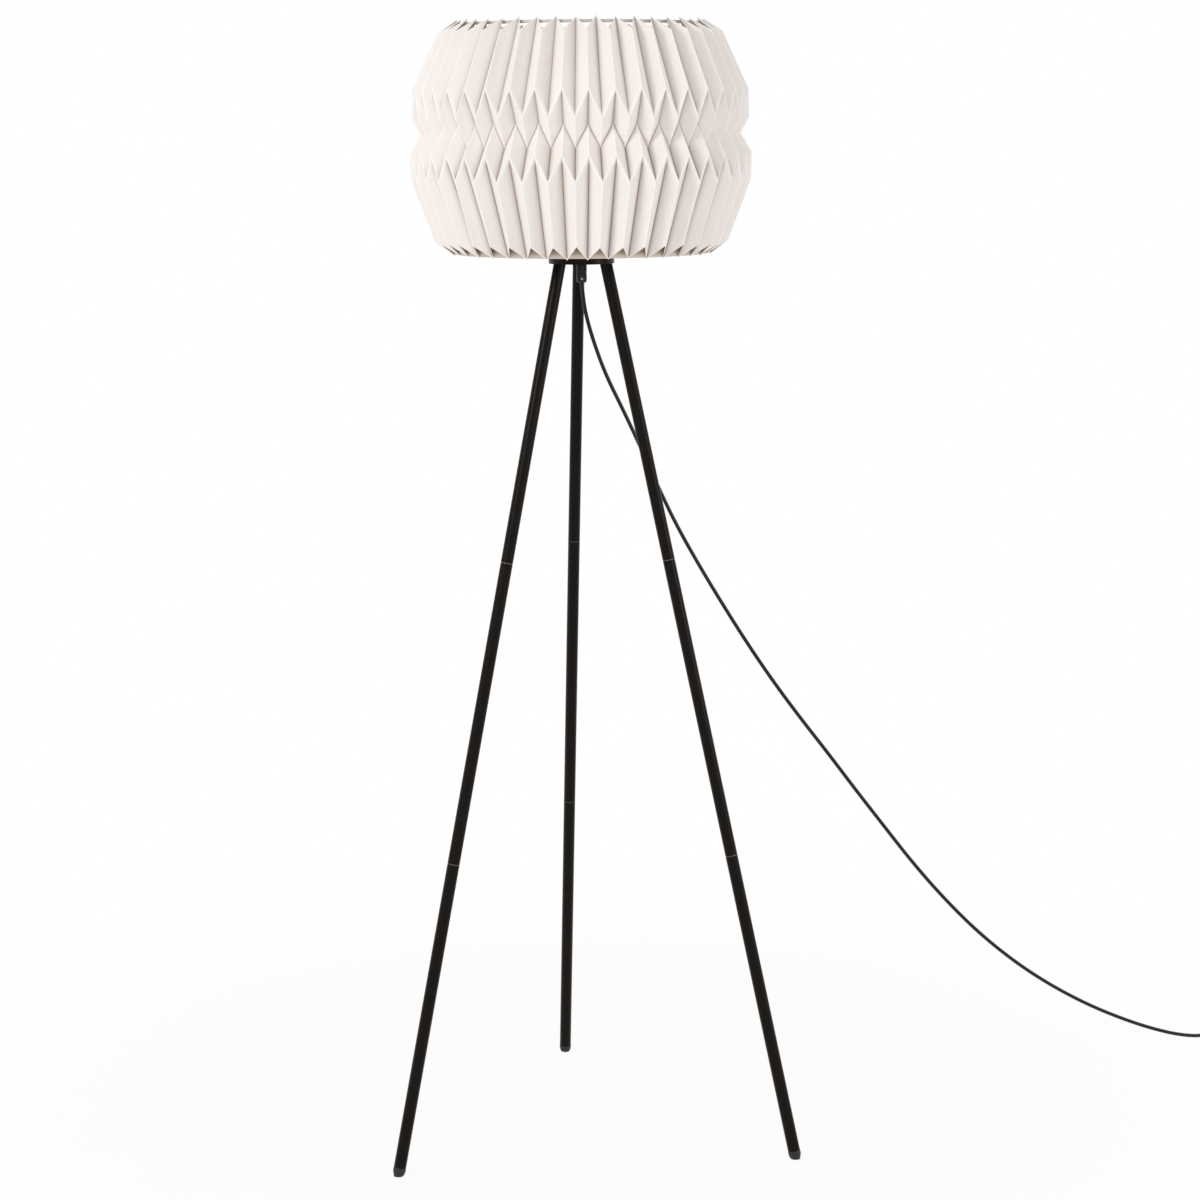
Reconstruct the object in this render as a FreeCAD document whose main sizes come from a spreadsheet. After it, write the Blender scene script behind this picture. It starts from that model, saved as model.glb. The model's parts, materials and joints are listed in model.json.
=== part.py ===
"""Floor lamp: a pleated paper lantern on a three-legged stand with its cord, foot switch and plug.

Millimetres, +Z up, floor at Z = 0. The rear leg points along +Y. The lamp's axis is set back in Y so
that the origin is the middle of the stand's and shade's outer box. Every driving size is a cell of the
sheet "Sizes"; every sub-part is an object of its own, bound to those cells.
"""
import FreeCAD, Part
import math
import os
from types import SimpleNamespace

import Sketcher

Vector = FreeCAD.Vector

# alias, value, what it measures (mm, degrees or a count)
SIZE_TABLE = (
    ("plate_under", 1167.5, "height of the top plate's underside"),
    ("plate_dia", 86, "top plate diameter"),
    ("plate_thick", 8, "top plate thickness"),
    ("leg_top_ring", 35, "radius at which the leg axes meet the plate's underside"),
    ("leg_foot_ring", 300, "radius at which the leg axes meet the floor"),
    ("tube_dia", 16, "leg tube outside diameter"),
    ("tube_wall", 1, "leg tube wall"),
    ("stud_long", 16, "free length of the studs that the leg sections screw onto"),
    ("plug_deep", 20, "length of the steel plug in a tube's lower end"),
    ("collar_thick", 1, "bright collar that shows between two leg sections"),
    ("collar_step", 0.5, "how far the collar stays inside the tube's surface"),
    ("foot_high", 11, "visible length of a foot along its leg"),
    ("foot_round", 7, "length of a foot's rounded end"),
    ("foot_tip_dia", 11, "diameter at a foot's tip"),
    ("foot_mid_dia", 13.75, "diameter halfway down a foot's rounded end"),
    ("foot_plug_long", 14, "length of a foot's plug inside its tube"),
    ("slip_gap", 0.1, "radial clearance of a piece that slides into another"),
    ("stem_dia", 10, "hollow threaded stem diameter"),
    ("stem_bore", 6.6, "hollow threaded stem bore"),
    ("stem_below", 9, "length of the stem below the plate"),
    ("stem_above", 10, "length of the stem above the plate"),
    ("gland_dia", 13.8, "cord gland diameter"),
    ("gland_long", 21, "cord gland length"),
    ("gland_tip_dia", 11, "cord gland diameter at its mouth"),
    ("gland_round", 1.5, "height of the bevel at the gland's mouth"),
    ("cap_foot_dia", 32, "lampholder cap diameter on the plate"),
    ("cap_dia", 44, "lampholder cap diameter at its top"),
    ("holder_dia", 40, "lampholder sleeve diameter"),
    ("cap_high", 26, "lampholder cap height"),
    ("sleeve_high", 27, "lampholder sleeve height above the cap"),
    ("sleeve_bore", 29, "lampholder sleeve bore"),
    ("contact_dia", 8, "centre contact diameter"),
    ("contact_high", 2, "centre contact height"),
    ("hub_width", 8, "width of the shade carrier's hub ring"),
    ("hub_thick", 1.6, "thickness of the shade carrier's hub ring"),
    ("nut_width", 5, "width of the ring nut"),
    ("nut_high", 7, "height of the ring nut"),
    ("strip_thick", 2, "thickness of the two shade rings, along the radius"),
    ("strip_high", 4, "height of the two shade rings"),
    ("arm_wide", 6, "width of a carrier arm"),
    ("arm_thick", 2.4, "thickness of a carrier arm"),
    ("upright_dia", 2.6, "upright wire diameter"),
    ("low_ring_rise", 5.5, "height of the carrier's ring above the shade's lower edge"),
    ("top_ring_drop", 8, "depth of the top ring below the shade's upper edge"),
    ("rest_gap", 0.3, "gap between the shade and the rings in it"),
    ("pleats", 41, "number of pleats around the shade"),
    ("pleat_turn", -3.22, "angle of the first outer fold from the lamp's front"),
    ("paper_thick", 1, "paper thickness along the radius"),
    ("gores", 20, "upright strips of paper that the shade is put together from"),
    ("rim_out_rad", 185, "top rim, outer folds, radius"),
    ("rim_out_high", 1466, "top rim, outer folds, height"),
    ("rim_in_rad", 160, "top rim, inner folds, radius"),
    ("rim_in_high", 1482, "top rim, inner folds, height"),
    ("upper_bulge_rad", 218.5, "upper bulge radius"),
    ("upper_crest_high", 1392, "upper bulge, crest height"),
    ("upper_foot_high", 1355.5, "upper bulge, trough height"),
    ("waist_rad", 199, "waist radius"),
    ("waist_crest_high", 1350, "waist, crest height"),
    ("waist_foot_high", 1319, "waist, trough height"),
    ("lower_bulge_rad", 221.5, "lower bulge radius"),
    ("lower_crest_high", 1311, "lower bulge, crest height"),
    ("lower_foot_high", 1277, "lower bulge, trough height"),
    ("hem_out_rad", 191, "bottom rim, outer folds, radius"),
    ("hem_out_high", 1196.5, "bottom rim, outer folds, height"),
    ("hem_in_rad", 168, "bottom rim, inner folds, radius"),
    ("hem_in_high", 1180.5, "bottom rim, inner folds, height"),
    ("bulb_gap", 0.3, "gap between the bulb and the holder's contact"),
    ("bulb_tip_dia", 9, "bulb's end contact diameter"),
    ("bulb_tip_high", 1.6, "bulb's end contact height"),
    ("bulb_cap_dia", 26.4, "bulb screw cap diameter"),
    ("bulb_cap_high", 24, "bulb screw cap height with its insulator"),
    ("bulb_neck_dia", 28.4, "bulb housing diameter at the cap"),
    ("bulb_base_dia", 52, "bulb housing diameter at the dome"),
    ("bulb_base_high", 36, "bulb housing height"),
    ("bulb_dome_dia", 60, "bulb dome diameter"),
    ("bulb_wall", 1.5, "bulb dome wall"),
    ("cord_dia", 5.2, "cord diameter"),
    ("cord_lift", 0.1, "clearance of a lying cord above the floor"),
    ("switch_dia", 64, "foot switch diameter"),
    ("switch_base_high", 11, "foot switch lower shell height"),
    ("switch_top_high", 13, "foot switch upper shell height"),
    ("switch_top_dia", 54, "foot switch upper shell diameter at its top"),
    ("button_dia", 34, "foot switch button diameter"),
    ("button_gap", 0.4, "radial clearance around the button"),
    ("button_proud", 5, "how far the button stands out"),
    ("button_round", 1.5, "bevel on the button's upper edge"),
    ("button_travel", 3, "button travel"),
    ("well_deep", 8, "depth of the button's well"),
    ("relief_dia", 9, "strain relief diameter at its housing"),
    ("relief_tip_dia", 7, "strain relief diameter at its mouth"),
    ("relief_long", 14, "strain relief length"),
    ("lathe_sides", 20, "sides of the small round pieces"),
    ("ring_sides", 52, "sides of the plate and the shade rings"),
    ("cord_sides", 6, "sides of the cord's section"),
    ("plug_wide", 35, "plug body width at its shoulders"),
    ("plug_tail_wide", 13, "plug body width at its tail"),
    ("plug_long", 36, "plug body length"),
    ("plug_thick", 13.6, "plug body thickness"),
    ("plug_edge", 2.4, "rounding of the plug body's edges"),
    ("pin_dia", 4, "plug pin diameter"),
    ("pin_long", 19, "plug pin length"),
    ("pin_apart", 18.6, "distance between the pins"),
    ("coil_rad", 52, "outer radius of the coil's cord line"),
    ("coil_pitch", 6, "distance between turns of the coil"),
    ("coil_layer_gap", 0.8, "gap between the coil's layers"),
    ("coil_turns", 2, "turns of the coil, half in each layer"),
)

LEG_AZIMUTHS = {"right": 330, "rear": 90, "left": 210}
ARM_AZIMUTHS = (30, 150, 270)
SECTIONS = ("upper", "middle", "lower")

# The cord's route from the gland to the foot switch, from the lamp's axis, chosen by hand
CORD_ROUTE = (
    (0, 0, 1146.5), (1.5, 0.4, 1124), (6.3, 1.6, 1096), (16.5, 4.3, 1062), (31.9, 8.3, 1020),
    (54.2, 14, 975), (77.9, 20.2, 925), (101.2, 26.2, 872), (126.8, 32.8, 818), (156.8, 40.6, 764),
    (190.2, 49.2, 708), (225.1, 58.2, 652), (262.4, 67.9, 596), (303, 78.4, 540),
    (346.1, 89.5, 484), (387.7, 100.3, 428), (431.3, 111.5, 371), (475.8, 123.1, 313),
    (526.2, 136.1, 254), (585.7, 151.5, 193), (658.3, 170.3, 133), (738.7, 191, 81),
    (816.1, 211.1, 42), (876.2, 226.6, 18), (917.8, 237.4, 6.5), (944.9, 244.4, 4.2),
    (968.1, 250.4, 5.5),
)

# From the foot switch to the coil
SWITCH_LEAD = (
    (1057.2, 273.4, 5.5), (1074.6, 277.9, 4.1), (1096.2, 273.5, 2.9), (1113.6, 260, 2.7),
    (1123.3, 240.2, 2.7), (1125.2, 214, 2.7), (1123.3, 180, 2.7), (1123.3, 155.2, 2.7),
)
# From the coil to the plug
PLUG_LEAD = ((1123.3, 144.8, 8.7), (1123.3, 126, 8.7), (1120.6, 102, 6.9), (1120.6, 86, 6.9))


class Size:
    """A length, angle or count: its expression over the sheet and its present value."""

    def __init__(self, text, value):
        self.text = text
        self.value = float(value)

    def __add__(self, other):
        other = as_size(other)
        return Size(f"({self.text} + {other.text})", self.value + other.value)

    def __sub__(self, other):
        other = as_size(other)
        return Size(f"({self.text} - {other.text})", self.value - other.value)

    def __rsub__(self, other):
        return as_size(other) - self

    def __mul__(self, other):
        other = as_size(other)
        return Size(f"({self.text} * {other.text})", self.value * other.value)

    def __truediv__(self, other):
        other = as_size(other)
        return Size(f"({self.text} / {other.text})", self.value / other.value)

    def __neg__(self):
        return Size(f"(0 - {self.text})", -self.value)


def as_size(number):
    """Returns a Size as it is, and a plain number as a Size."""
    return number if isinstance(number, Size) else Size(str(number), number)


def sine(angle):
    """The sine of an angle in degrees."""
    angle = as_size(angle)
    return Size(f"sin({angle.text} * 1 deg)", math.sin(math.radians(angle.value)))


def cosine(angle):
    """The cosine of an angle in degrees."""
    angle = as_size(angle)
    return Size(f"cos({angle.text} * 1 deg)", math.cos(math.radians(angle.value)))


def slope_angle(rise, run):
    """The angle, in degrees, of a line that rises by rise over run."""
    text = f"(atan({rise.text} / {run.text}) / 1 deg)"
    return Size(text, math.degrees(math.atan(rise.value / run.value)))


def make_sheet():
    """Fills the sheet and returns its sizes by alias."""
    sheet = doc.addObject("Spreadsheet::Sheet", "Sizes")
    sizes = {}
    for row, (alias, value, meaning) in enumerate(SIZE_TABLE, start=1):
        sheet.set(f"A{row}", meaning)
        sheet.set(f"B{row}", str(value))
        sheet.setAlias(f"B{row}", alias)
        sizes[alias] = Size(f"Sizes.{alias}", value)
    doc.recompute()
    return SimpleNamespace(**sizes)


doc = FreeCAD.newDocument("PaperLanternLamp")
s = make_sheet()
nodes = []

# Values that several sub-parts share
tube_rad = s.tube_dia / 2
tube_bore_rad = tube_rad - s.tube_wall
plug_rad = tube_bore_rad - s.slip_gap
plate_top = s.plate_under + s.plate_thick
leg_lean = slope_angle(s.leg_foot_ring - s.leg_top_ring, s.plate_under)
leg_long = s.plate_under / cosine(leg_lean)
section_long = (leg_long - s.foot_high) / len(SECTIONS)
axis_y = (s.lower_bulge_rad - s.leg_foot_ring - tube_rad) / 2
hub_under = plate_top + s.cap_high
holder_rad = s.holder_dia / 2
ring_bore_rad = holder_rad + s.slip_gap
cord_rad = s.cord_dia / 2
lying_high = cord_rad + s.cord_lift
switch_axis_high = Size("5.5", CORD_ROUTE[-1][2])


# ---------------------------------------------------------------- building blocks

def text_of(number):
    """The expression text of a size or a plain number."""
    return as_size(number).text


def place(piece, x=0, y=axis_y, z=0, yaw=0, pitch=0, roll=0):
    """Binds a piece's placement to its position and turns."""
    position = f"vector({text_of(x)}; {text_of(y)}; {text_of(z)})"
    turn = f"rotation({text_of(yaw)}; {text_of(pitch)}; {text_of(roll)})"
    piece.setExpression("Placement", f"placement({position}; {turn})")
    return piece


def keep(piece, label):
    """Names a finished sub-part and puts it on the list of nodes."""
    piece.Label = label
    nodes.append(piece)
    return piece


def bind(piece, **sizes):
    """Binds properties of a primitive or feature to sizes."""
    for name, number in sizes.items():
        piece.setExpression(name, text_of(number))
    return piece


def flat_face(corners):
    """A flat face from its corners, anticlockwise as seen from outside."""
    return Part.Face(Part.makePolygon([*corners, corners[0]]))


def closed_solid(faces):
    """The solid that a closed set of flat faces bounds."""
    solid = Part.makeSolid(Part.makeShell(faces))
    if solid.Volume < 0:
        solid.reverse()
    return solid


def outline(body, role, corners):
    """A closed sketch of straight sides whose corners are bound to sizes."""
    sketch = body.newObject("Sketcher::SketchObject", "Outline")
    plane = next(item for item in body.Origin.OriginFeatures if item.Role == role)
    sketch.AttachmentSupport = [(plane, "")]
    sketch.MapMode = "FlatFace"
    points = [tuple(as_size(number) for number in corner) for corner in corners]
    ends = [Vector(across.value, up.value, 0) for across, up in points]
    for start, end in zip(ends, ends[1:] + ends[:1]):
        sketch.addGeometry(Part.LineSegment(start, end), False)
    for index, point in enumerate(points):
        after = (index + 1) % len(points)
        sketch.addConstraint(Sketcher.Constraint("Coincident", index, 2, after, 1))
        for kind, number in zip(("DistanceX", "DistanceY"), point):
            constraint = sketch.addConstraint(Sketcher.Constraint(kind, -1, 1, index, 1, number.value))
            sketch.renameConstraint(constraint, f"corner_{index}_{kind}")
            sketch.setExpression(f"Constraints.corner_{index}_{kind}", number.text)
    return sketch


def turned(name, corners):
    """A body turned about its own Z axis from corners of radius and height."""
    body = doc.addObject("PartDesign::Body", name)
    sketch = outline(body, "XZ_Plane", corners)
    turn = body.newObject("PartDesign::Revolution", "Turn")
    turn.Profile = sketch
    turn.ReferenceAxis = (sketch, ["V_Axis"])
    turn.Angle = 360
    return body


def faceted(name, corners, sides=s.lathe_sides):
    """A tapering round piece with flat sides, through rings of radius and height."""
    count = int(sides.value)
    turns = [2 * math.pi * side / count for side in range(count)]
    rings = []
    for radius, height in corners:
        size = as_size(radius).value
        level = as_size(height).value
        rings.append([Vector(size * math.cos(turn), size * math.sin(turn), level) for turn in turns])
    faces = [flat_face(rings[0][::-1]), flat_face(rings[-1])]
    for low, high in zip(rings, rings[1:]):
        for side in range(count):
            after = (side + 1) % count
            faces.append(flat_face([low[side], low[after], high[after], high[side]]))
    piece = doc.addObject("Part::Feature", name)
    piece.Shape = closed_solid(faces)
    return piece


def faceted_ring(name, bore, radius, height, sides=s.lathe_sides):
    """A round piece with a round bore right through it, both with flat sides."""
    outside = faceted(name + "Outside", ((radius, 0), (radius, height)), sides)
    inside = faceted(name + "Bore", ((bore, 0), (bore, height)), sides)
    return boolean("Cut", name, outside, inside)


def rod(name, radius, height):
    """A plain cylinder along its own Z axis."""
    return bind(doc.addObject("Part::Cylinder", name), Radius=radius, Height=height)


def boolean(kind, name, base, tool):
    """A Cut, Common or Fuse of two pieces."""
    result = doc.addObject(f"Part::{kind}", name)
    result.Base = base
    result.Tool = tool
    return result


def welded(name, pieces):
    """Several pieces as one."""
    result = doc.addObject("Part::MultiFuse", name)
    result.Shapes = pieces
    return result


# ---------------------------------------------------------------- stand

def make_top_plate(room):
    """The disc with a hole for the stem and the welded studs that the legs screw onto."""
    hole = s.stem_dia / 2 + s.slip_gap
    disc = faceted_ring("PlateDisc", hole, s.plate_dia / 2, s.plate_thick, s.ring_sides)
    pieces = [place(disc, z=s.plate_under)]
    for side, azimuth in LEG_AZIMUTHS.items():
        stud = faceted("Stud" + side, ((plug_rad, 0), (plug_rad, s.stud_long + s.tube_dia)))
        out = s.leg_top_ring + s.stud_long * sine(leg_lean)
        x = out * cosine(azimuth)
        y = axis_y + out * sine(azimuth)
        z = s.plate_under - s.stud_long * cosine(leg_lean)
        place(stud, x, y, z, yaw=azimuth, pitch=-leg_lean)
        pieces.append(leg_trim("StudTrimmed" + side, stud, room))
    keep(welded("PlateWelded", pieces), "top_plate")


def leg_room():
    """The space from the floor to the plate, which trims the slanting ends of the legs."""
    room = rod("LegRoom", s.leg_foot_ring * 2, s.plate_under)
    return place(room)


def place_on_leg(piece, azimuth):
    """Puts a piece made along Z, downwards from the origin, on the axis of a leg."""
    x = s.leg_top_ring * cosine(azimuth)
    y = axis_y + s.leg_top_ring * sine(azimuth)
    return place(piece, x, y, s.plate_under, yaw=azimuth, pitch=-leg_lean)


def leg_trim(name, body, room):
    """The part of a leg piece that lies between the floor and the plate."""
    return boolean("Common", name, body, room)


def section_corners(top, low, with_stud):
    """A leg tube; all but the lowest end in a steel plug with a collar and the next section's stud."""
    corners = [(tube_bore_rad, top)]
    if with_stud:
        plug_top = low + s.plug_deep
        collar_rad = tube_rad - s.collar_step
        collar_low = low - s.collar_thick
        stud_low = collar_low - s.stud_long
        corners += [
            (tube_bore_rad, plug_top),
            (0, plug_top),
            (0, stud_low),
            (plug_rad, stud_low),
            (plug_rad, collar_low),
            (collar_rad, collar_low),
            (collar_rad, low),
        ]
    else:
        corners.append((tube_bore_rad, low))
    return corners + [(tube_rad, low), (tube_rad, top)]


def make_leg(side, azimuth, room):
    """The three screwed tube sections of one leg; the upper one is trimmed flush with the plate."""
    for index, section in enumerate(SECTIONS):
        top = s.tube_dia if index == 0 else -(section_long * index)
        low = -(section_long * (index + 1))
        last = section == SECTIONS[-1]
        if not last:
            low = low + s.collar_thick
        body = turned(f"Leg{section}{side}", section_corners(top, low, with_stud=not last))
        place_on_leg(body, azimuth)
        if index == 0:
            body = leg_trim(f"LegTrimmed{side}", body, room)
        keep(body, f"leg_{section}_{side}")


def make_foot(side, azimuth, room):
    """A moulded foot: a plug in the tube, a rounded end, and a sole that is level on the floor."""
    top = -(leg_long - s.foot_high)
    round_top = -(leg_long - s.foot_round)
    tip = -(leg_long + s.tube_dia)
    end = faceted("FootEnd" + side, (
        (tube_rad, top),
        (tube_rad, round_top),
        (s.foot_mid_dia / 2, (round_top - leg_long) / 2),
        (s.foot_tip_dia / 2, -leg_long),
        (s.foot_tip_dia / 2, tip),
    ))
    plug = faceted("FootPlug" + side, (
        (plug_rad, top),
        (plug_rad, top + s.foot_plug_long),
    ))
    whole = boolean("Fuse", "FootWhole" + side, end, plug)
    place_on_leg(whole, azimuth)
    keep(leg_trim("FootTrimmed" + side, whole, room), f"foot_{side}")


def make_stand():
    """The plate and the three legs with their feet."""
    room = leg_room()
    make_top_plate(room)
    for side, azimuth in LEG_AZIMUTHS.items():
        make_leg(side, azimuth, room)
        make_foot(side, azimuth, room)


# ---------------------------------------------------------------- gland and lampholder

def make_stem():
    """The hollow threaded stem that clamps the gland, the plate and the lampholder together."""
    top = s.plate_thick + s.stem_above
    stem = faceted_ring("Stem", s.stem_bore / 2, s.stem_dia / 2, s.stem_below + top)
    keep(place(stem, z=s.plate_under - s.stem_below), "threaded_stem")


def make_gland():
    """The cord gland under the plate: a sleeve screwed on the stem, bevelled at its mouth."""
    rad = s.gland_dia / 2
    sleeve = faceted("GlandSleeve", (
        (s.gland_tip_dia / 2, -s.gland_long),
        (rad, -s.gland_long + s.gland_round),
        (rad, 0),
    ))
    socket_rad = s.stem_dia / 2 + s.slip_gap
    socket = faceted("GlandSocket", ((socket_rad, -s.stem_below - s.slip_gap), (socket_rad, 0)))
    keep(place(boolean("Cut", "GlandBored", sleeve, socket), z=s.plate_under), "cord_gland")


def make_lampholder():
    """The lampholder: a cap screwed on the stem, a bored sleeve, the centre contact and a ring nut."""
    socket_rad = s.stem_dia / 2 + s.slip_gap
    cap = faceted("HolderCap", (
        (s.cap_foot_dia / 2, 0),
        (s.cap_dia / 2, s.cap_high / 2),
        (s.cap_dia / 2, s.cap_high),
    ))
    socket = faceted("CapSocket", ((socket_rad, 0), (socket_rad, s.stem_above + s.slip_gap)))
    keep(place(boolean("Cut", "CapBored", cap, socket), z=plate_top), "lampholder_cap")
    sleeve = faceted_ring("HolderSleeve", s.sleeve_bore / 2, holder_rad, s.sleeve_high)
    keep(place(sleeve, z=hub_under), "lampholder_sleeve")
    contact = faceted("ContactDisc", ((s.contact_dia / 2, 0), (s.contact_dia / 2, s.contact_high)))
    keep(place(contact, z=hub_under), "holder_contact")
    nut = faceted_ring("RingNut", ring_bore_rad, holder_rad + s.nut_width, s.nut_high)
    keep(place(nut, z=hub_under + s.hub_thick), "shade_ring_nut")


# ---------------------------------------------------------------- bulb

def make_bulb():
    """The bulb: end contact, screw cap, plastic housing and opal dome."""
    tip_low = hub_under + s.contact_high + s.bulb_gap
    tip_rad = s.bulb_tip_dia / 2
    tip = faceted("BulbTip", ((tip_rad, 0), (tip_rad, s.bulb_tip_high)))
    keep(place(tip, z=tip_low), "bulb_tip")
    cap_low = tip_low + s.bulb_tip_high
    cap_rad = s.bulb_cap_dia / 2
    cap_end = faceted("BulbCapEnd", ((tip_rad, 0), (cap_rad, tip_rad)))
    barrel = place(rod("BulbCapBarrel", cap_rad, s.bulb_cap_high - tip_rad), y=0, z=tip_rad)
    keep(place(boolean("Fuse", "BulbCap", cap_end, barrel), z=cap_low), "bulb_cap")
    base_low = cap_low + s.bulb_cap_high
    base = faceted("BulbBase", (
        (s.bulb_neck_dia / 2, 0),
        (s.bulb_base_dia / 2, s.bulb_base_high),
    ))
    keep(place(base, z=base_low), "bulb_housing")
    make_bulb_dome(base_low + s.bulb_base_high)


def ball_rings(radius, centre, low_angle):
    """Rings of radius and height on a ball, from an angle below its middle up to near its top."""
    top_angle = 80
    steps = 6
    rings = []
    for step in range(steps + 1):
        angle = low_angle + (top_angle - low_angle) * step / steps
        rings.append((radius * cosine(angle), centre + radius * sine(angle)))
    return rings


def make_bulb_dome(low):
    """The opal dome: a hollow ball cut level where it meets the housing."""
    rad = s.bulb_dome_dia / 2
    mouth = s.bulb_base_dia / 2
    ratio = mouth.value / rad.value
    low_angle = Size(f"(0 - acos({mouth.text} / {rad.text}) / 1 deg)", -math.degrees(math.acos(ratio)))
    centre = -rad * sine(low_angle)
    outside = faceted("DomeOutside", ball_rings(rad, centre, low_angle))
    inside = faceted("DomeInside", ball_rings(rad - s.bulb_wall, centre, low_angle))
    keep(place(boolean("Cut", "DomeHollow", outside, inside), z=low), "bulb_dome")


# ---------------------------------------------------------------- shade and its carrier

def ring_radius(low_rad, low_high, high_rad, high_high, ring_high):
    """The outer radius of a ring that rests inside the inner folds, at the height of its nearer edge."""
    run = high_rad - low_rad
    fold = low_rad + run * (ring_high - low_high) / (high_high - low_high)
    return fold - s.paper_thick / 2 - s.rest_gap * 2


low_ring_high = s.hem_in_high + s.low_ring_rise
top_ring_high = s.rim_in_high - s.top_ring_drop
low_ring_rad = ring_radius(s.hem_in_rad, s.hem_in_high, s.lower_bulge_rad, s.lower_crest_high,
                           low_ring_high)
top_ring_rad = ring_radius(s.upper_bulge_rad, s.upper_foot_high, s.rim_in_rad, s.rim_in_high,
                           top_ring_high + s.strip_high)
upright_ring = top_ring_rad - s.strip_thick / 2


def strip_ring(name, radius):
    """A flat strip bent into a ring that stands on its edge."""
    return faceted_ring(name, radius - s.strip_thick, radius, s.strip_high, s.ring_sides)


def make_carrier():
    """The shade carrier: a hub ring clamped on the lampholder, three arms and a ring."""
    hub = faceted_ring("CarrierHub", ring_bore_rad, holder_rad + s.hub_width, s.hub_thick)
    ring = strip_ring("LowRing", low_ring_rad)
    pieces = [place(hub, z=hub_under), place(ring, z=low_ring_high)]
    start_rad = holder_rad + s.nut_width + s.rest_gap
    end_rad = low_ring_rad - s.strip_thick / 2
    start_high = hub_under
    end_high = low_ring_high + s.strip_high / 2 - s.arm_thick / 2
    fall = slope_angle(start_high - end_high, end_rad - start_rad)
    for index, azimuth in enumerate(ARM_AZIMUTHS):
        arm = doc.addObject("Part::Box", f"Arm{index}")
        bind(arm, Length=(end_rad - start_rad) / cosine(fall), Width=s.arm_wide, Height=s.arm_thick)
        x = start_rad * cosine(azimuth) + s.arm_wide / 2 * sine(azimuth)
        y = axis_y + start_rad * sine(azimuth) - s.arm_wide / 2 * cosine(azimuth)
        place(arm, x, y, start_high, yaw=azimuth, pitch=fall)
        pieces.append(arm)
    keep(welded("CarrierWelded", pieces), "shade_carrier")


def make_stretcher():
    """The ring in the shade's top and the three upright wires that carry it on the carrier's arms."""
    foot_high = low_ring_high + s.strip_high
    for index, azimuth in enumerate(ARM_AZIMUTHS, start=1):
        wire = rod(f"Upright{index}", s.upright_dia / 2, top_ring_high - foot_high)
        x = upright_ring * cosine(azimuth)
        y = axis_y + upright_ring * sine(azimuth)
        keep(place(wire, x, y, foot_high), f"shade_upright_{index}")
    keep(place(strip_ring("TopRing", top_ring_rad), z=top_ring_high), "shade_top_ring")


def fold_levels():
    """The ends of the two kinds of fold, from the top rim down: radius and height of each."""
    first_fold = (
        (s.rim_out_rad, s.rim_out_high),
        (s.upper_bulge_rad, s.upper_crest_high),
        (s.waist_rad, s.waist_crest_high),
        (s.lower_bulge_rad, s.lower_crest_high),
        (s.hem_in_rad, s.hem_in_high),
    )
    second_fold = (
        (s.rim_in_rad, s.rim_in_high),
        (s.upper_bulge_rad, s.upper_foot_high),
        (s.waist_rad, s.waist_foot_high),
        (s.lower_bulge_rad, s.lower_foot_high),
        (s.hem_out_rad, s.hem_out_high),
    )
    return first_fold, second_fold


def paper_points(offset):
    """The fold ends of one face of the paper, by fold line and level; offset moves them outwards."""
    folds = fold_levels()
    count = int(s.pleats.value)
    lines = []
    for line in range(count * 2):
        angle = math.radians(s.pleat_turn.value - 90 + line * 180 / count)
        lines.append([
            Vector((radius.value + offset) * math.cos(angle), (radius.value + offset) * math.sin(angle),
                   height.value)
            for radius, height in folds[line % 2]
        ])
    return lines


def panel_faces(near, far, near_is_first, outwards):
    """The panels between two fold lines, each creased into two triangles."""
    faces = []
    first, second = (near, far) if near_is_first else (far, near)
    for level in range(len(near) - 1):
        # The crease runs from the upper end of the first fold to the lower end of the second
        for corners in ((first[level], second[level + 1], second[level]),
                        (first[level], first[level + 1], second[level + 1])):
            faces.append(flat_face(corners if outwards == near_is_first else corners[::-1]))
    return faces


def edge_faces(outer, inner):
    """The cut edge of the paper along a fold line or a rim."""
    faces = []
    for index in range(len(outer) - 1):
        faces.append(flat_face([outer[index], outer[index + 1], inner[index + 1]]))
        faces.append(flat_face([outer[index], inner[index + 1], inner[index]]))
    return faces


def patch_solid(outer, inner, first_line, last_line, level):
    """One patch of paper, from one fold line to another and from one crease down to the next."""
    lines = range(first_line, last_line + 1)
    outside = [outer[line % len(outer)][level:level + 2] for line in lines]
    inside = [inner[line % len(inner)][level:level + 2] for line in lines]
    faces = []
    for index in range(len(outside) - 1):
        near_is_first = (first_line + index) % 2 == 0
        faces += panel_faces(outside[index], outside[index + 1], near_is_first, True)
        faces += panel_faces(inside[index], inside[index + 1], near_is_first, False)
    for end in (0, -1):
        faces += edge_faces([line[end] for line in outside], [line[end] for line in inside])
        faces += edge_faces(outside[end], inside[end])
    return closed_solid(faces)


def make_paper_shade():
    """The pleated paper, whose folds swap between crest and trough at each bulge."""
    half = s.paper_thick.value / 2
    outer = paper_points(half)
    inner = paper_points(-half)
    gores = int(s.gores.value)
    seams = [2 * round(len(outer) / 2 * gore / gores) for gore in range(gores + 1)]
    # Each gore is cut at the creases too, so that its patches are nearly flat
    patches = [
        patch_solid(outer, inner, first_line, last_line, level)
        for first_line, last_line in zip(seams, seams[1:])
        for level in range(len(outer[0]) - 1)
    ]
    shade = doc.addObject("Part::Feature", "PaperShade")
    shade.Shape = Part.makeCompound(patches)
    keep(place(shade), "paper_shade")


# ---------------------------------------------------------------- cord, foot switch and plug

# The share of a run that the arc at its end takes up
ARC_SHARE = 0.45


def tangent_arc(start, corner, end):
    """The arc that touches the lines from a corner to two points equally far from it."""
    back = (start - corner).normalize()
    ahead = (end - corner).normalize()
    half = (math.pi - back.getAngle(ahead)) / 2
    radius = (start - corner).Length / math.tan(half)
    middle = corner + (back + ahead).normalize() * (radius / math.cos(half) - radius)
    return Part.Arc(start, middle, end).toShape()


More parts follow.
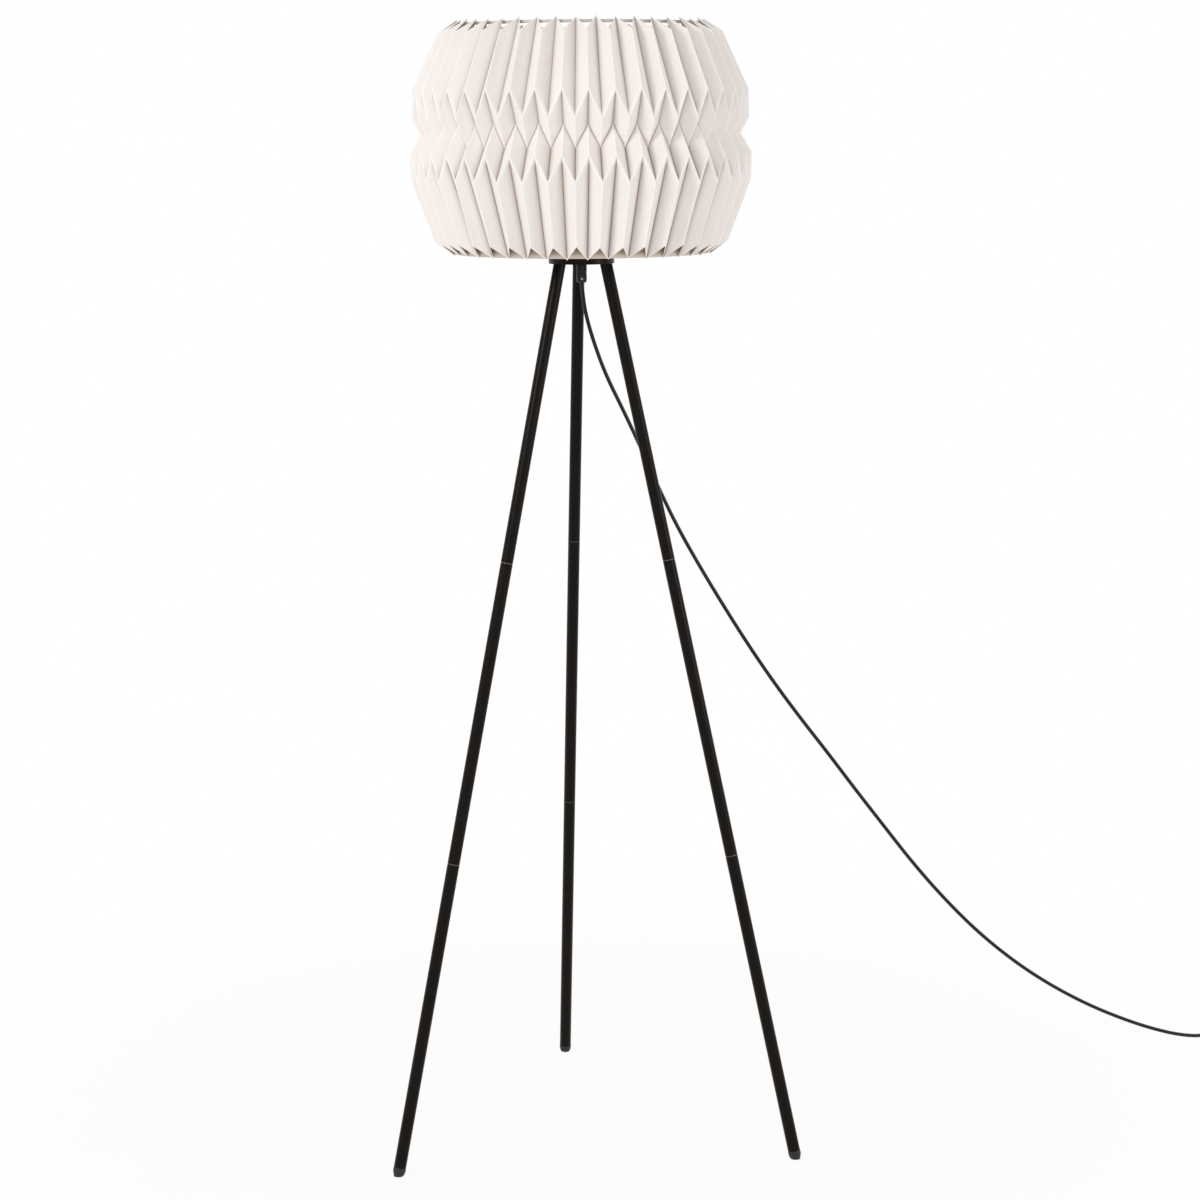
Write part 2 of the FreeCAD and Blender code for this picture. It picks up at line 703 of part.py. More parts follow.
def cord_path(points, label):
    """Straight runs joined by tangent arcs, each as large as its two runs allow."""
    edges = []
    radii = []
    last = points[0]
    for before, corner, after in zip(points, points[1:], points[2:]):
        back = before - corner
        ahead = after - corner
        turn = math.pi - back.getAngle(ahead)
        reach = ARC_SHARE * min(back.Length, ahead.Length)
        radii.append(reach / math.tan(turn / 2))
        arc_start = corner + back.normalize() * reach
        arc_end = corner + ahead.normalize() * reach
        edges.append(Part.LineSegment(last, arc_start).toShape())
        edges.append(tangent_arc(arc_start, corner, arc_end))
        last = arc_end
    edges.append(Part.LineSegment(last, points[-1]).toShape())
    print(label, "bend radii:", ", ".join(f"{radius:.0f}" for radius in radii))
    return Part.Wire(edges)


def cord_section(start, heading):
    """The many-sided section of the cord, square to its start."""
    turn = FreeCAD.Rotation(Vector(0, 0, 1), heading)
    count = int(s.cord_sides.value)
    corners = []
    for side in range(count + 1):
        angle = 2 * math.pi * side / count
        corners.append(start + turn.multVec(Vector(math.cos(angle), math.sin(angle), 0)) * cord_rad.value)
    return Part.makePolygon(corners)


def section_area():
    """The area of the cord's many-sided section."""
    sides = s.cord_sides.value
    return sides / 2 * cord_rad.value ** 2 * math.sin(2 * math.pi / sides)


def cord_tube(label, points):
    """A stretch of cord along a route; its volume is checked against section times length."""
    path = cord_path([Vector(*point) for point in points], label)
    heading = Vector(*points[1]) - Vector(*points[0])
    solid = path.makePipeShell([cord_section(Vector(*points[0]), heading)], True, False)
    expected = section_area() * path.Length
    print(f"{label}: {path.Length:.0f} mm long, volume {solid.Volume / expected:.4f} of section x length")
    tube = doc.addObject("Part::Feature", "Cord")
    tube.Shape = solid
    return keep(place(tube), label)


# Where the foot switch stands, and the way the cord runs through it, from the lamp's axis
SWITCH_TURN = 14.5


def make_switch():
    """The foot switch: two shells, a sprung button and a strain relief on each side."""
    reach = s.relief_long + s.switch_dia / 2
    end = CORD_ROUTE[-1]
    heading = cosine(SWITCH_TURN), sine(SWITCH_TURN)
    x = reach * heading[0] + end[0]
    y = axis_y + reach * heading[1] + end[1]
    rim = s.switch_dia / 2
    lower = faceted("SwitchLower", ((rim, 0), (rim, s.switch_base_high)))
    keep(place(lower, x, y), "switch_lower_shell")
    well_rad = s.button_dia / 2 + s.button_gap
    floor_high = s.switch_top_high - s.well_deep
    upper = faceted("SwitchUpper", (
        (rim, 0),
        (rim, s.switch_top_high / 2),
        (s.switch_top_dia / 2, s.switch_top_high),
    ))
    well = faceted("SwitchWell", ((well_rad, floor_high), (well_rad, s.switch_top_high)))
    upper = boolean("Cut", "SwitchUpperBored", upper, well)
    keep(place(upper, x, y, s.switch_base_high), "switch_upper_shell")
    button_low = s.switch_base_high + floor_high + s.button_travel + s.rest_gap
    button_high = s.well_deep - s.button_travel - s.rest_gap + s.button_proud
    button = faceted("SwitchButton", (
        (s.button_dia / 2, 0),
        (s.button_dia / 2, button_high - s.button_round),
        (s.button_dia / 2 - s.button_round, button_high),
    ))
    keep(place(button, x, y, button_low), "switch_button")
    for name, side in (("in", -1), ("out", 1)):
        relief = faceted("Relief" + name, (
            (s.relief_dia / 2, 0),
            (s.relief_tip_dia / 2, s.relief_long),
        ))
        start_x = x + heading[0] * s.switch_dia * side / 2
        start_y = y + heading[1] * s.switch_dia * side / 2
        place(relief, start_x, start_y, switch_axis_high, yaw=SWITCH_TURN, pitch=90 * side)
        keep(relief, "switch_relief_" + name)


def biarc(start, start_heading, end, end_heading):
    """Two arcs that join two points and have the given headings there."""
    chord = end - start
    both = start_heading + end_heading
    spread = 2 * (1 - start_heading.dot(end_heading))
    reach = (math.sqrt(chord.dot(both) ** 2 + spread * chord.dot(chord)) - chord.dot(both)) / spread
    first = start + start_heading * reach
    second = end - end_heading * reach
    joint = (first + second) / 2
    return [tangent_arc(start, first, joint), tangent_arc(joint, second, end)]


def coil_point(turn):
    """The cord line after a number of turns: in towards the middle, up a layer and out again."""
    turns = s.coil_turns.value
    angle = -2 * math.pi * turn
    radius = s.coil_rad.value - s.coil_pitch.value * min(turn, turns - turn)
    climb = min(max((turn - turns / 2) * 2 + 0.5, 0), 1)
    height = lying_high.value + (s.cord_dia.value + s.coil_layer_gap.value) * climb ** 2 * (3 - 2 * climb)
    return Vector(radius * math.cos(angle), radius * math.sin(angle), height)


def coil_heading(turn):
    """The direction of the cord line after a number of turns."""
    step = 0.0001
    return (coil_point(turn + step) - coil_point(turn - step)).normalize()


def coil_gap():
    """The least gap between turns of the coil, measured on points of the cord line."""
    count = int(s.coil_turns.value * 60)
    points = [coil_point(s.coil_turns.value * index / count) for index in range(count + 1)]
    least = min(
        (first - second).Length
        for index, first in enumerate(points)
        for second in points[index + 30:]
    )
    return least - s.cord_dia.value


def make_coil():
    """The put-away cord: one unbroken tube wound in two layers, with straight ends."""
    quarters = int(s.coil_turns.value * 4)
    marks = [index / 4 for index in range(quarters + 1)]
    tail = s.cord_dia.value
    heading = Vector(0, -1, 0)
    start = coil_point(0)
    end = coil_point(marks[-1])
    headings = [heading] + [coil_heading(mark) for mark in marks[1:-1]] + [heading]
    edges = [Part.LineSegment(start - heading * tail, start).toShape()]
    for index in range(quarters):
        first = coil_point(marks[index])
        last = coil_point(marks[index + 1])
        edges += biarc(first, headings[index], last, headings[index + 1])
    edges.append(Part.LineSegment(end, end + heading * tail).toShape())
    path = Part.Wire(edges)
    solid = path.makePipeShell([cord_section(start - heading * tail, heading)], True, False)
    expected = section_area() * path.Length
    print(f"cord_coil: {path.Length:.0f} mm long, volume {solid.Volume / expected:.4f} of section x length,",
          f"least gap {coil_gap():.2f} mm")
    coil = doc.addObject("Part::Feature", "Coil")
    coil.Shape = solid
    centre_x = SWITCH_LEAD[-1][0] - s.coil_rad
    centre_y = axis_y + SWITCH_LEAD[-1][1] - s.cord_dia
    keep(place(coil, centre_x, centre_y), "cord_coil")


def round_flat_faces(body, feature, radius):
    """Rounds the edges of a feature's faces that look straight up or down."""
    doc.recompute()
    names = [
        f"Face{number}"
        for number, face in enumerate(feature.Shape.Faces, start=1)
        if abs(face.normalAt(0, 0).z) > 0.99
    ]
    fillet = body.newObject("PartDesign::Fillet", "Rounding")
    fillet.Base = (feature, names)
    bind(fillet, Radius=radius)


def make_plug():
    """The flat two-pin plug: a strain relief, a body that widens to its shoulders, and the pins."""
    x, y, axis_high = PLUG_LEAD[-1]
    relief = faceted("PlugRelief", (
        (s.relief_tip_dia / 2, 0),
        (s.relief_dia / 2, s.relief_long),
    ))
    keep(place(relief, x, axis_y + y, axis_high, yaw=-90, pitch=90), "plug_relief")
    body = doc.addObject("PartDesign::Body", "PlugBody")
    tail = s.plug_tail_wide / 2
    side = s.plug_wide / 2
    sketch = outline(body, "XY_Plane", (
        (0, -tail),
        (s.plug_long / 4, -tail),
        (s.plug_long / 2, -side),
        (s.plug_long, -side),
        (s.plug_long, side),
        (s.plug_long / 2, side),
        (s.plug_long / 4, tail),
        (0, tail),
    ))
    pad = body.newObject("PartDesign::Pad", "Thickness")
    pad.Profile = sketch
    pad.Midplane = True
    bind(pad, Length=s.plug_thick)
    round_flat_faces(body, pad, s.plug_edge)
    body_y = axis_y + y - s.relief_long
    keep(place(body, x, body_y, axis_high, yaw=-90), "plug_body")
    for name, way in (("left", -1), ("right", 1)):
        pin = rod("Pin" + name, s.pin_dia / 2, s.pin_long)
        place(pin, s.pin_apart / 2 * way + x, body_y - s.plug_long, axis_high, yaw=-90, pitch=90)
        keep(pin, "plug_pin_" + name)


make_stand()
make_stem()
make_gland()
make_lampholder()
make_bulb()
make_carrier()
make_stretcher()
make_paper_shade()
cord_tube("lamp_cord", CORD_ROUTE)
make_switch()
cord_tube("switch_cord", SWITCH_LEAD)
make_coil()
cord_tube("plug_cord", PLUG_LEAD)
make_plug()

doc.recompute()
broken = [item.Name for item in doc.Objects if {"Invalid", "Error"} & set(item.State)]
if broken:
    raise RuntimeError(f"failed objects: {broken}")

os.makedirs("parts", exist_ok=True)
for node in nodes:
    shape = node.Shape
    if shape.isNull() or not shape.isValid():
        raise RuntimeError(f"bad shape: {node.Label}")
    shape.exportStep(f"parts/{node.Label}.step")
print(len(nodes), "sub-parts")
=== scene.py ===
"""Floor lamp dressed for its portrait: pleated paper shade, black steel stand, cord, foot switch and plug.

Everything is in metres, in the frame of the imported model: +Z up, floor at Z = 0, rear leg along +Y.
"""

import json
import logging
import math
import random
from dataclasses import dataclass, field
from enum import Enum
from typing import Callable, Iterable, Optional, Sequence

import bmesh
import bpy
from mathutils import Matrix, Vector

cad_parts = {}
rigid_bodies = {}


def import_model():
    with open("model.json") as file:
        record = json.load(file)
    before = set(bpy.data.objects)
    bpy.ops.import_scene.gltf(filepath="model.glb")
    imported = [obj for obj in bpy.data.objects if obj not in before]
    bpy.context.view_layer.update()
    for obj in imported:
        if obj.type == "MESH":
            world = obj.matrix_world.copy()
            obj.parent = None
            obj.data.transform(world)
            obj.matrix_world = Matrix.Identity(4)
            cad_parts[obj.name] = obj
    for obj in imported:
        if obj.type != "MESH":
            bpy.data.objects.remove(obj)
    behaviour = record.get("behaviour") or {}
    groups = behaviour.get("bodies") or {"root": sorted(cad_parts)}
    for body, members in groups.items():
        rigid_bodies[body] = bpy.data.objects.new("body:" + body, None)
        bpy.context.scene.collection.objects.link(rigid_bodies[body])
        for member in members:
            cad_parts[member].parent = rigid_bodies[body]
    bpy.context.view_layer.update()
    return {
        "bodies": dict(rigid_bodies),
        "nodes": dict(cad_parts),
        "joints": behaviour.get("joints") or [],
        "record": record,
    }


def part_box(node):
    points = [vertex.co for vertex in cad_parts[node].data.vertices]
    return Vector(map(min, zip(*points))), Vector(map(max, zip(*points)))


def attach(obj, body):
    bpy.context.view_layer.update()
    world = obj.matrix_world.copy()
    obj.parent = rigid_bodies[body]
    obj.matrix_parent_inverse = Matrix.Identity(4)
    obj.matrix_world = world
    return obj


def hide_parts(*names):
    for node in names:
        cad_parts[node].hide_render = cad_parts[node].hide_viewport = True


LOG = logging.getLogger("lamp")
PHOTO_SIDE = 1200
UP = Vector((0, 0, 1))
FLAT_EDGE = math.radians(38)
BOLD_EDGE = math.radians(50)
ON_AXIS = 1e-7
SAME_POINT = 1e-6
LESS_THAN_HALF = 0.49
NOISE_RANGE = (0.3, 0.7)

Piece = bpy.types.Object
Material = bpy.types.Material
Tree = bpy.types.NodeTree
Node = bpy.types.Node
Socket = bpy.types.NodeSocket
Colour = tuple[float, float, float]
Ring = tuple[float, float]
Point = tuple[float, float, float]
Ripple = Callable[[float, float], float]


# ---- finishes


@dataclass(frozen=True)
class Finish:
    """A surface: two tones, a speckle, a fine bump, a little dust, and marks that the mesh places, which paint
    highlight and shade, such as pale creases and shaded valleys.
    """

    name: str
    colour: Colour
    tone: Colour
    roughness: tuple[float, float] = (0.35, 0.45)
    metallic: float = 0.0
    specular: float = 0.5
    coat: float = 0.0
    tint: Colour = (1.0, 1.0, 1.0)
    grain_scale: float = 1500.0
    grain_height: float = 0.00002
    grain_stretch: Point = (1.0, 1.0, 1.0)
    dust: float = 0.0
    dust_colour: Colour = (0.32, 0.3, 0.28)
    mottle: float = 1.0
    marks: tuple[tuple[str, Colour], ...] = ()
    mark_strength: float = 0.95

    def material(self, effects: "Effects") -> Material:
        """Builds the material.

        Args:
            effects: The shared shader groups.

        Returns:
            The finished material.
        """
        material, tree, shader = new_material(self.name)
        speckle = effects.speckled(tree, self.grain_scale, self.grain_stretch)
        mottle = spread(tree, speckle.outputs["Broad"], 0.0, self.mottle)
        colour = blend_colour(tree, mottle, rgba(self.colour), rgba(self.tone))
        # Each mark paints highlight or shade into the colour where the mesh's attribute of that name is high
        for name, tone in self.marks:
            mark = add_node(tree, "ShaderNodeAttribute", attribute_name=name).outputs["Fac"]
            colour = blend_colour(tree, maths(tree, "MULTIPLY", mark, self.mark_strength), colour, rgba(tone))
        if self.dust:
            dust = add_node(tree, "ShaderNodeGroup", {"Amount": self.dust}, node_tree=effects.dust)
            colour = blend_colour(tree, dust.outputs["Mask"], colour, rgba(self.dust_colour))
        fine = speckle.outputs["Fine"]
        bump = add_node(tree, "ShaderNodeBump", {"Height": fine, "Distance": self.grain_height, "Strength": 1.0})
        smoothest, roughest = self.roughness
        rough = roughest if smoothest == roughest else spread(tree, fine, smoothest, roughest)
        feed(tree, shader, {"Base Color": colour, "Roughness": rough, "Normal": bump.outputs[0],
                            "Metallic": self.metallic, "Specular IOR Level": self.specular,
                            "Specular Tint": rgba(self.tint), "Coat Weight": self.coat})
        return material


PAPER_GRAIN = {"roughness": (0.82, 0.82), "specular": 0.25, "grain_scale": 1100.0, "grain_height": 0.00006,
               "grain_stretch": (1.0, 1.0, 0.35), "mottle": 0.35}
# Painted shade: the warm dark tone laid towards the paper's valley folds
VALLEY_SHADE_PAINT = ("valley_shade", (0.24, 0.15, 0.095))


class Surface(Enum):
    """Every finish of the lamp."""

    COAT = Finish("stand_coat", (0.0032, 0.0021, 0.0014), (0.0055, 0.0038, 0.0028), (0.24, 0.34), specular=0.12,
                  tint=(1.0, 0.87, 0.8), grain_scale=2600.0, grain_height=0.000008, dust=0.05)
    PLASTIC = Finish("black_plastic", (0.008, 0.008, 0.008), (0.013, 0.013, 0.013), (0.4, 0.55), specular=0.4,
                     grain_scale=2200.0, grain_height=0.00003, dust=0.25)
    SWITCH = Finish("switch_plastic", (0.009, 0.009, 0.009), (0.014, 0.014, 0.014), (0.24, 0.36),
                    grain_scale=1800.0, grain_height=0.000012, dust=0.3)
    RUBBER = Finish("cord_rubber", (0.012, 0.012, 0.012), (0.02, 0.019, 0.018), (0.5, 0.65), specular=0.35,
                    grain_scale=1600.0, grain_height=0.00003, dust=0.2)
    JACKET = Finish("cord_jacket", (0.0022, 0.002, 0.0019), (0.004, 0.0037, 0.0034), (0.1, 0.18), specular=0.3,
                    grain_scale=900.0, grain_height=0.00001, dust=0.1)
    COLLAR = Finish("collar_steel", (0.2, 0.19, 0.18), (0.13, 0.12, 0.11), (0.3, 0.45), metallic=1.0,
                    grain_scale=2400.0, grain_height=0.000006)
    ZINC = Finish("zinc_steel", (0.6, 0.59, 0.57), (0.45, 0.44, 0.42), (0.25, 0.4), metallic=1.0,
                  grain_scale=2400.0, grain_height=0.000008, grain_stretch=(1.0, 1.0, 0.1))
    NICKEL = Finish("pin_nickel", (0.74, 0.72, 0.68), (0.62, 0.6, 0.56), (0.14, 0.26), metallic=1.0,
                    grain_scale=2000.0, grain_height=0.000004, grain_stretch=(1.0, 0.1, 1.0))
    BRASS = Finish("contact_brass", (0.72, 0.52, 0.22), (0.6, 0.42, 0.18), (0.25, 0.4), metallic=1.0,
                   grain_scale=2000.0, grain_height=0.000006)
    THREAD = Finish("bulb_cap_metal", (0.76, 0.76, 0.75), (0.66, 0.66, 0.65), (0.2, 0.34), metallic=1.0,
                    grain_scale=1800.0, grain_height=0.000006)
    HOUSING = Finish("bulb_white_plastic", (0.82, 0.81, 0.79), (0.78, 0.77, 0.75), (0.32, 0.42),
                     grain_scale=1800.0, grain_height=0.00001, dust=0.15)
    OPAL = Finish("opal_glass", (0.86, 0.85, 0.83), (0.84, 0.83, 0.81), (0.3, 0.36), coat=0.35,
                  grain_scale=900.0, grain_height=0.000003, dust=0.15)
    CARRIER = Finish("carrier_white", (0.8, 0.79, 0.77), (0.76, 0.75, 0.72), (0.34, 0.46),
                     grain_scale=2400.0, grain_height=0.000012, dust=0.2)
    # The crease mark paints a highlight on the paper's crests, bulge creases and cut edges
    PAPER = Finish("shade_paper", (0.915, 0.875, 0.85), (0.885, 0.825, 0.78),
                   marks=(VALLEY_SHADE_PAINT, ("crease_highlight", (0.985, 0.975, 0.965))), **PAPER_GRAIN)
    # The paper's inside: the same paper as a darker, warmer copy, painted shade for the inside of the lampshade
    PAPER_INSIDE = Finish("shade_paper_inside_painted_shade", (0.54, 0.42, 0.33), (0.48, 0.37, 0.28),
                          marks=(VALLEY_SHADE_PAINT, ("crease_highlight", (0.8, 0.74, 0.66))), **PAPER_GRAIN)


class Body(Enum):
    """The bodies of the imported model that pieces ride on."""

    LAMP = "lamp"
    BUTTON = "switch_button"
    CONTACT = "bulb_contact"
    BULB = "bulb"


# ---- shader nodes


def new_material(name: str) -> tuple[Material, Tree, Node]:
    """Makes a material that holds only a Principled shader.

    Args:
        name: Name of the material.

    Returns:
        The material, its node tree and its shader.
    """
    material = bpy.data.materials.new(name)
    material.use_nodes = True
    return material, material.node_tree, material.node_tree.nodes["Principled BSDF"]


def rgba(colour: Colour) -> tuple[float, float, float, float]:
    """Adds full alpha to a colour."""
    return (*colour, 1.0)


def feed(tree: Tree, node: Node, inputs: dict) -> None:
    """Feeds a node's inputs.

    Args:
        tree: The node tree.
        node: The node.
        inputs: Sources or values by input name or number.
    """
    for key, value in inputs.items():
        if isinstance(value, Socket):
            tree.links.new(value, node.inputs[key])
        else:
            node.inputs[key].default_value = value


def add_node(tree: Tree, kind: str, inputs: Optional[dict] = None, **settings: object) -> Node:
    """Adds a node to a tree and feeds its inputs.

    Args:
        tree: The node tree.
        kind: Node type.
        inputs: Sources or values by input name or number.
        settings: Properties of the node.

    Returns:
        The new node.
    """
    node = tree.nodes.new(kind)
    for name, value in settings.items():
        setattr(node, name, value)
    feed(tree, node, inputs or {})
    return node


def blend_colour(tree: Tree, mask: object, first: object, second: object) -> Socket:
    """Mixes two colours, each a value or a socket, by a mask."""
    return add_node(tree, "ShaderNodeMix", {0: mask, 6: first, 7: second}, data_type="RGBA").outputs[2]


def maths(tree: Tree, operation: str, first: object, second: object) -> Socket:
    """Joins two values or sockets by a mathematical operation."""
    return add_node(tree, "ShaderNodeMath", {0: first, 1: second}, operation=operation).outputs[0]


def spread(tree: Tree, value: Socket, low: float, high: float) -> Socket:
    """Maps the middle of a noise onto a range."""
    return add_node(tree, "ShaderNodeMapRange", {"Value": value, "From Min": NOISE_RANGE[0], "To Min": low,
                                                 "From Max": NOISE_RANGE[1], "To Max": high}).outputs[0]


class GroupBuilder:
    """Builds one shader node group with named inputs and outputs."""

    def __init__(self, name: str) -> None:
        """Starts an empty group.

        Args:
            name: Name of the group.
        """
        self.tree = bpy.data.node_groups.new(name, "ShaderNodeTree")
        self.inlet = self.tree.nodes.new("NodeGroupInput")
        self.outlet = self.tree.nodes.new("NodeGroupOutput")

    def input(self, name: str, default: object, kind: str = "NodeSocketFloat") -> None:
        """Adds an input socket."""
        self.tree.interface.new_socket(name, in_out="INPUT", socket_type=kind).default_value = default

    def output(self, name: str, source: Socket) -> None:
        """Adds an output socket that carries a value."""
        self.tree.interface.new_socket(name, in_out="OUTPUT", socket_type="NodeSocketFloat")
        self.tree.links.new(source, self.outlet.inputs[name])

    def node(self, kind: str, inputs: Optional[dict] = None, **settings: object) -> Node:
        """Adds a node to the group, as add_node does."""
        return add_node(self.tree, kind, inputs, **settings)


class Effects:
    """The shader groups that several finishes use, each built once."""

    broad_share = 0.02

    def __init__(self) -> None:
        """Builds the groups."""
        self.speckle = self.speckle_group()
        self.dust = self.dust_group()

    def speckled(self, tree: Tree, scale: float, stretch: Point) -> Node:
        """Puts the speckle group into a material."""
        return add_node(tree, "ShaderNodeGroup", {"Scale": scale, "Stretch": stretch}, node_tree=self.speckle)

    def speckle_group(self) -> Tree:
        """Builds the fine speckle and broad mottle that coated, moulded and paper surfaces share.

        Returns:
            A group with inputs Scale and Stretch, and outputs Fine and Broad, both from 0 to 1.
        """
        group = GroupBuilder("surface_speckle")
        group.input("Scale", 1500.0)
        group.input("Stretch", (1.0, 1.0, 1.0), "NodeSocketVector")
        scale, stretch = group.inlet.outputs["Scale"], group.inlet.outputs["Stretch"]
        place = group.node("ShaderNodeTexCoord").outputs["Object"]
        stretched = group.node("ShaderNodeVectorMath", {0: place, 1: stretch}, operation="MULTIPLY")
        fine = group.node("ShaderNodeTexNoise", {"Vector": stretched.outputs[0], "Scale": scale,
                                                 "Detail": 4.0, "Roughness": 0.62})
        broad_scale = maths(group.tree, "MULTIPLY", scale, self.broad_share)
        broad = group.node("ShaderNodeTexNoise", {"Vector": place, "Scale": broad_scale, "Detail": 3.0,
                                                  "Roughness": 0.5})
        group.output("Fine", fine.outputs["Fac"])
        group.output("Broad", broad.outputs["Fac"])
        return group.tree

    def dust_group(self) -> Tree:
        """Builds the thin dust that settles on faces that look up.

        Returns:
            A group with an input Amount and an output Mask.
        """
        group = GroupBuilder("settled_dust")
        group.input("Amount", 0.3)
        normal = group.node("ShaderNodeNewGeometry").outputs["Normal"]
        upward = group.node("ShaderNodeSeparateXYZ", {0: normal}).outputs["Z"]
        place = group.node("ShaderNodeTexCoord").outputs["Object"]
        patches = group.node("ShaderNodeTexNoise", {"Vector": place, "Scale": 90.0, "Detail": 5.0}).outputs["Fac"]
        facing = group.node("ShaderNodeMapRange", {"Value": upward, "From Min": 0.35, "From Max": 1.0}).outputs[0]
        patchy = maths(group.tree, "MULTIPLY", facing, patches)
        group.output("Mask", maths(group.tree, "MULTIPLY", patchy, group.inlet.outputs["Amount"]))
        return group.tree


# ---- meshes


def new_object(name: str, vertices: Iterable[Vector], faces: Iterable[Sequence[int]]) -> Piece:
    """Makes a smooth-shaded mesh object.

    Args:
        name: Name of the object and its mesh.
        vertices: Points in the row frame.
        faces: Vertex numbers of each face.

    Returns:
        The new object, linked to the scene.
    """
    mesh = bpy.data.meshes.new(name)
    mesh.from_pydata([tuple(vertex) for vertex in vertices], [], [tuple(face) for face in faces])
    mesh.validate()
    for polygon in mesh.polygons:
        polygon.use_smooth = True
    return linked(bpy.data.objects.new(name, mesh))


def linked(piece: Piece) -> Piece:
    """Links an object to the scene."""
    bpy.context.scene.collection.objects.link(piece)
    return piece


def close_up(piece: Piece, angle: float = FLAT_EDGE) -> None:
    """Merges points that coincide, turns the faces outwards and keeps the edges that turn much sharp.

    Args:
        piece: The closed mesh object.
        angle: Least turn of a sharp edge.
    """
    mesh = bmesh.new()
    mesh.from_mesh(piece.data)
    bmesh.ops.remove_doubles(mesh, verts=mesh.verts, dist=SAME_POINT)
    bmesh.ops.recalc_face_normals(mesh, faces=mesh.faces)
    for edge in mesh.edges:
        edge.smooth = not (len(edge.link_faces) == 2 and edge.calc_face_angle(0.0) > angle)
    mesh.to_mesh(piece.data)
    mesh.free()


def softened(profile: Sequence[Ring], radius: float, steps: int = 4) -> list[Ring]:
    """Rounds the inner corners of a profile line.

    Args:
        profile: Points of radius and height.
        radius: Rounding radius, cut short where a side is too short for it.
        steps: Number of sides in each rounded corner.

    Returns:
        The profile with its corners rounded.
    """
    points = [Vector(point) for point in profile]
    result = [points[0]]
    for before, corner, after in zip(points, points[1:], points[2:]):
        reach = min(radius, *((end - corner).length * LESS_THAN_HALF for end in (before, after)))
        start = corner + (before - corner).normalized() * reach
        end = corner + (after - corner).normalized() * reach
        for step in range(steps + 1):
            share = step / steps
            result.append(start * (1 - share) ** 2 + corner * 2 * share * (1 - share) + end * share ** 2)
    result.append(points[-1])
    return [(point.x, point.y) for point in result]


def tall_wall(radius: float, low: float, high: float, steps: int) -> list[Ring]:
    """Draws a straight wall in many short steps, so that a thread can be cut into it."""
    return [(radius, low + (high - low) * step / steps) for step in range(steps + 1)]


def thread_cut(angle: float, height: float, pitch: float, depth: float) -> float:
    """Gives the depth of a screw thread at a point of its wall."""
    return -depth * (0.5 + 0.5 * math.sin(2 * math.pi * height / pitch - angle))


def lathe(name: str, profile: Sequence[Ring], place: Matrix, sides: int, ripple: Optional[Ripple] = None
          ) -> Piece:
    """Turns a profile about the Z axis of a placement.

    Args:
        name: Name of the object.
        profile: Points of radius and height, from one end to the other; a closed ring repeats its first point.
        place: Placement of the piece in the row frame.
        sides: Number of sides around.
        ripple: What is added to a radius, from the angle and the height.

    Returns:
        The turned object.
    """
    vertices: list[Vector] = []
    rows: list[list[int]] = []
    for radius, height in profile:
        on_axis = radius <= ON_AXIS
        row = []
        for side in range(1 if on_axis else sides):
            angle = 2 * math.pi * side / sides
            reach = radius + (ripple(angle, height) if ripple and not on_axis else 0.0)
            row.append(len(vertices))
            vertices.append(place @ polar(reach, angle, height))
        rows.append(row)
    faces = []
    for low, high in zip(rows, rows[1:]):
        for side in range(sides):
            after = (side + 1) % sides
            corners = [low[side % len(low)], low[after % len(low)], high[after % len(high)], high[side % len(high)]]
            unique = list(dict.fromkeys(corners))
            if len(unique) > 2:
                faces.append(unique)
    if profile[0] != profile[-1]:
        faces += [row for row in (rows[0][::-1], rows[-1]) if len(row) > 1]
    piece = new_object(name, vertices, faces)
    close_up(piece)
    return piece


def tube_along(name: str, points: Sequence[Sequence[float]], diameter: float) -> Piece:
    """Makes a round cord as one open NURBS spline.

    Args:
        name: Name of the object.
        points: The route's control points.
        diameter: Diameter of the cord.

    Returns:
        The curve object.
    """
    curve = bpy.data.curves.new(name, "CURVE")
    curve.dimensions = "3D"
    curve.bevel_depth = diameter / 2
    curve.bevel_resolution = 5
    curve.resolution_u = 10
    curve.use_fill_caps = True
    spline = curve.splines.new("NURBS")
    spline.points.add(len(points) - 1)
    for point, place in zip(spline.points, points):
        point.co = (*place, 1.0)
    spline.order_u = 3
    spline.use_endpoint_u = True
    return linked(bpy.data.objects.new(name, curve))


def placed(origin: Vector, axis: Vector = UP) -> Matrix:
    """Gives the placement whose Z axis points a given way."""
    return Matrix.Translation(origin) @ axis.to_track_quat("Z", "Y").to_matrix().to_4x4()


def polar(reach: float, angle: float, height: float) -> Vector:
    """Gives the point at a distance and an angle from the Z axis."""
    return Vector((reach * math.cos(angle), reach * math.sin(angle), height))


def heading(degrees: float) -> Vector:
    """Gives the level direction at an angle from +X."""
    return polar(1.0, math.radians(degrees), 0.0)


def centre_of(node: str) -> Vector:
    """Finds the middle of a CAD node's box."""
    low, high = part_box(node)
    return (low + high) / 2


def heights_of(node: str) -> tuple[float, float]:
    """Gives the heights between which a CAD node lies."""
    low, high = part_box(node)
    return low.z, high.z


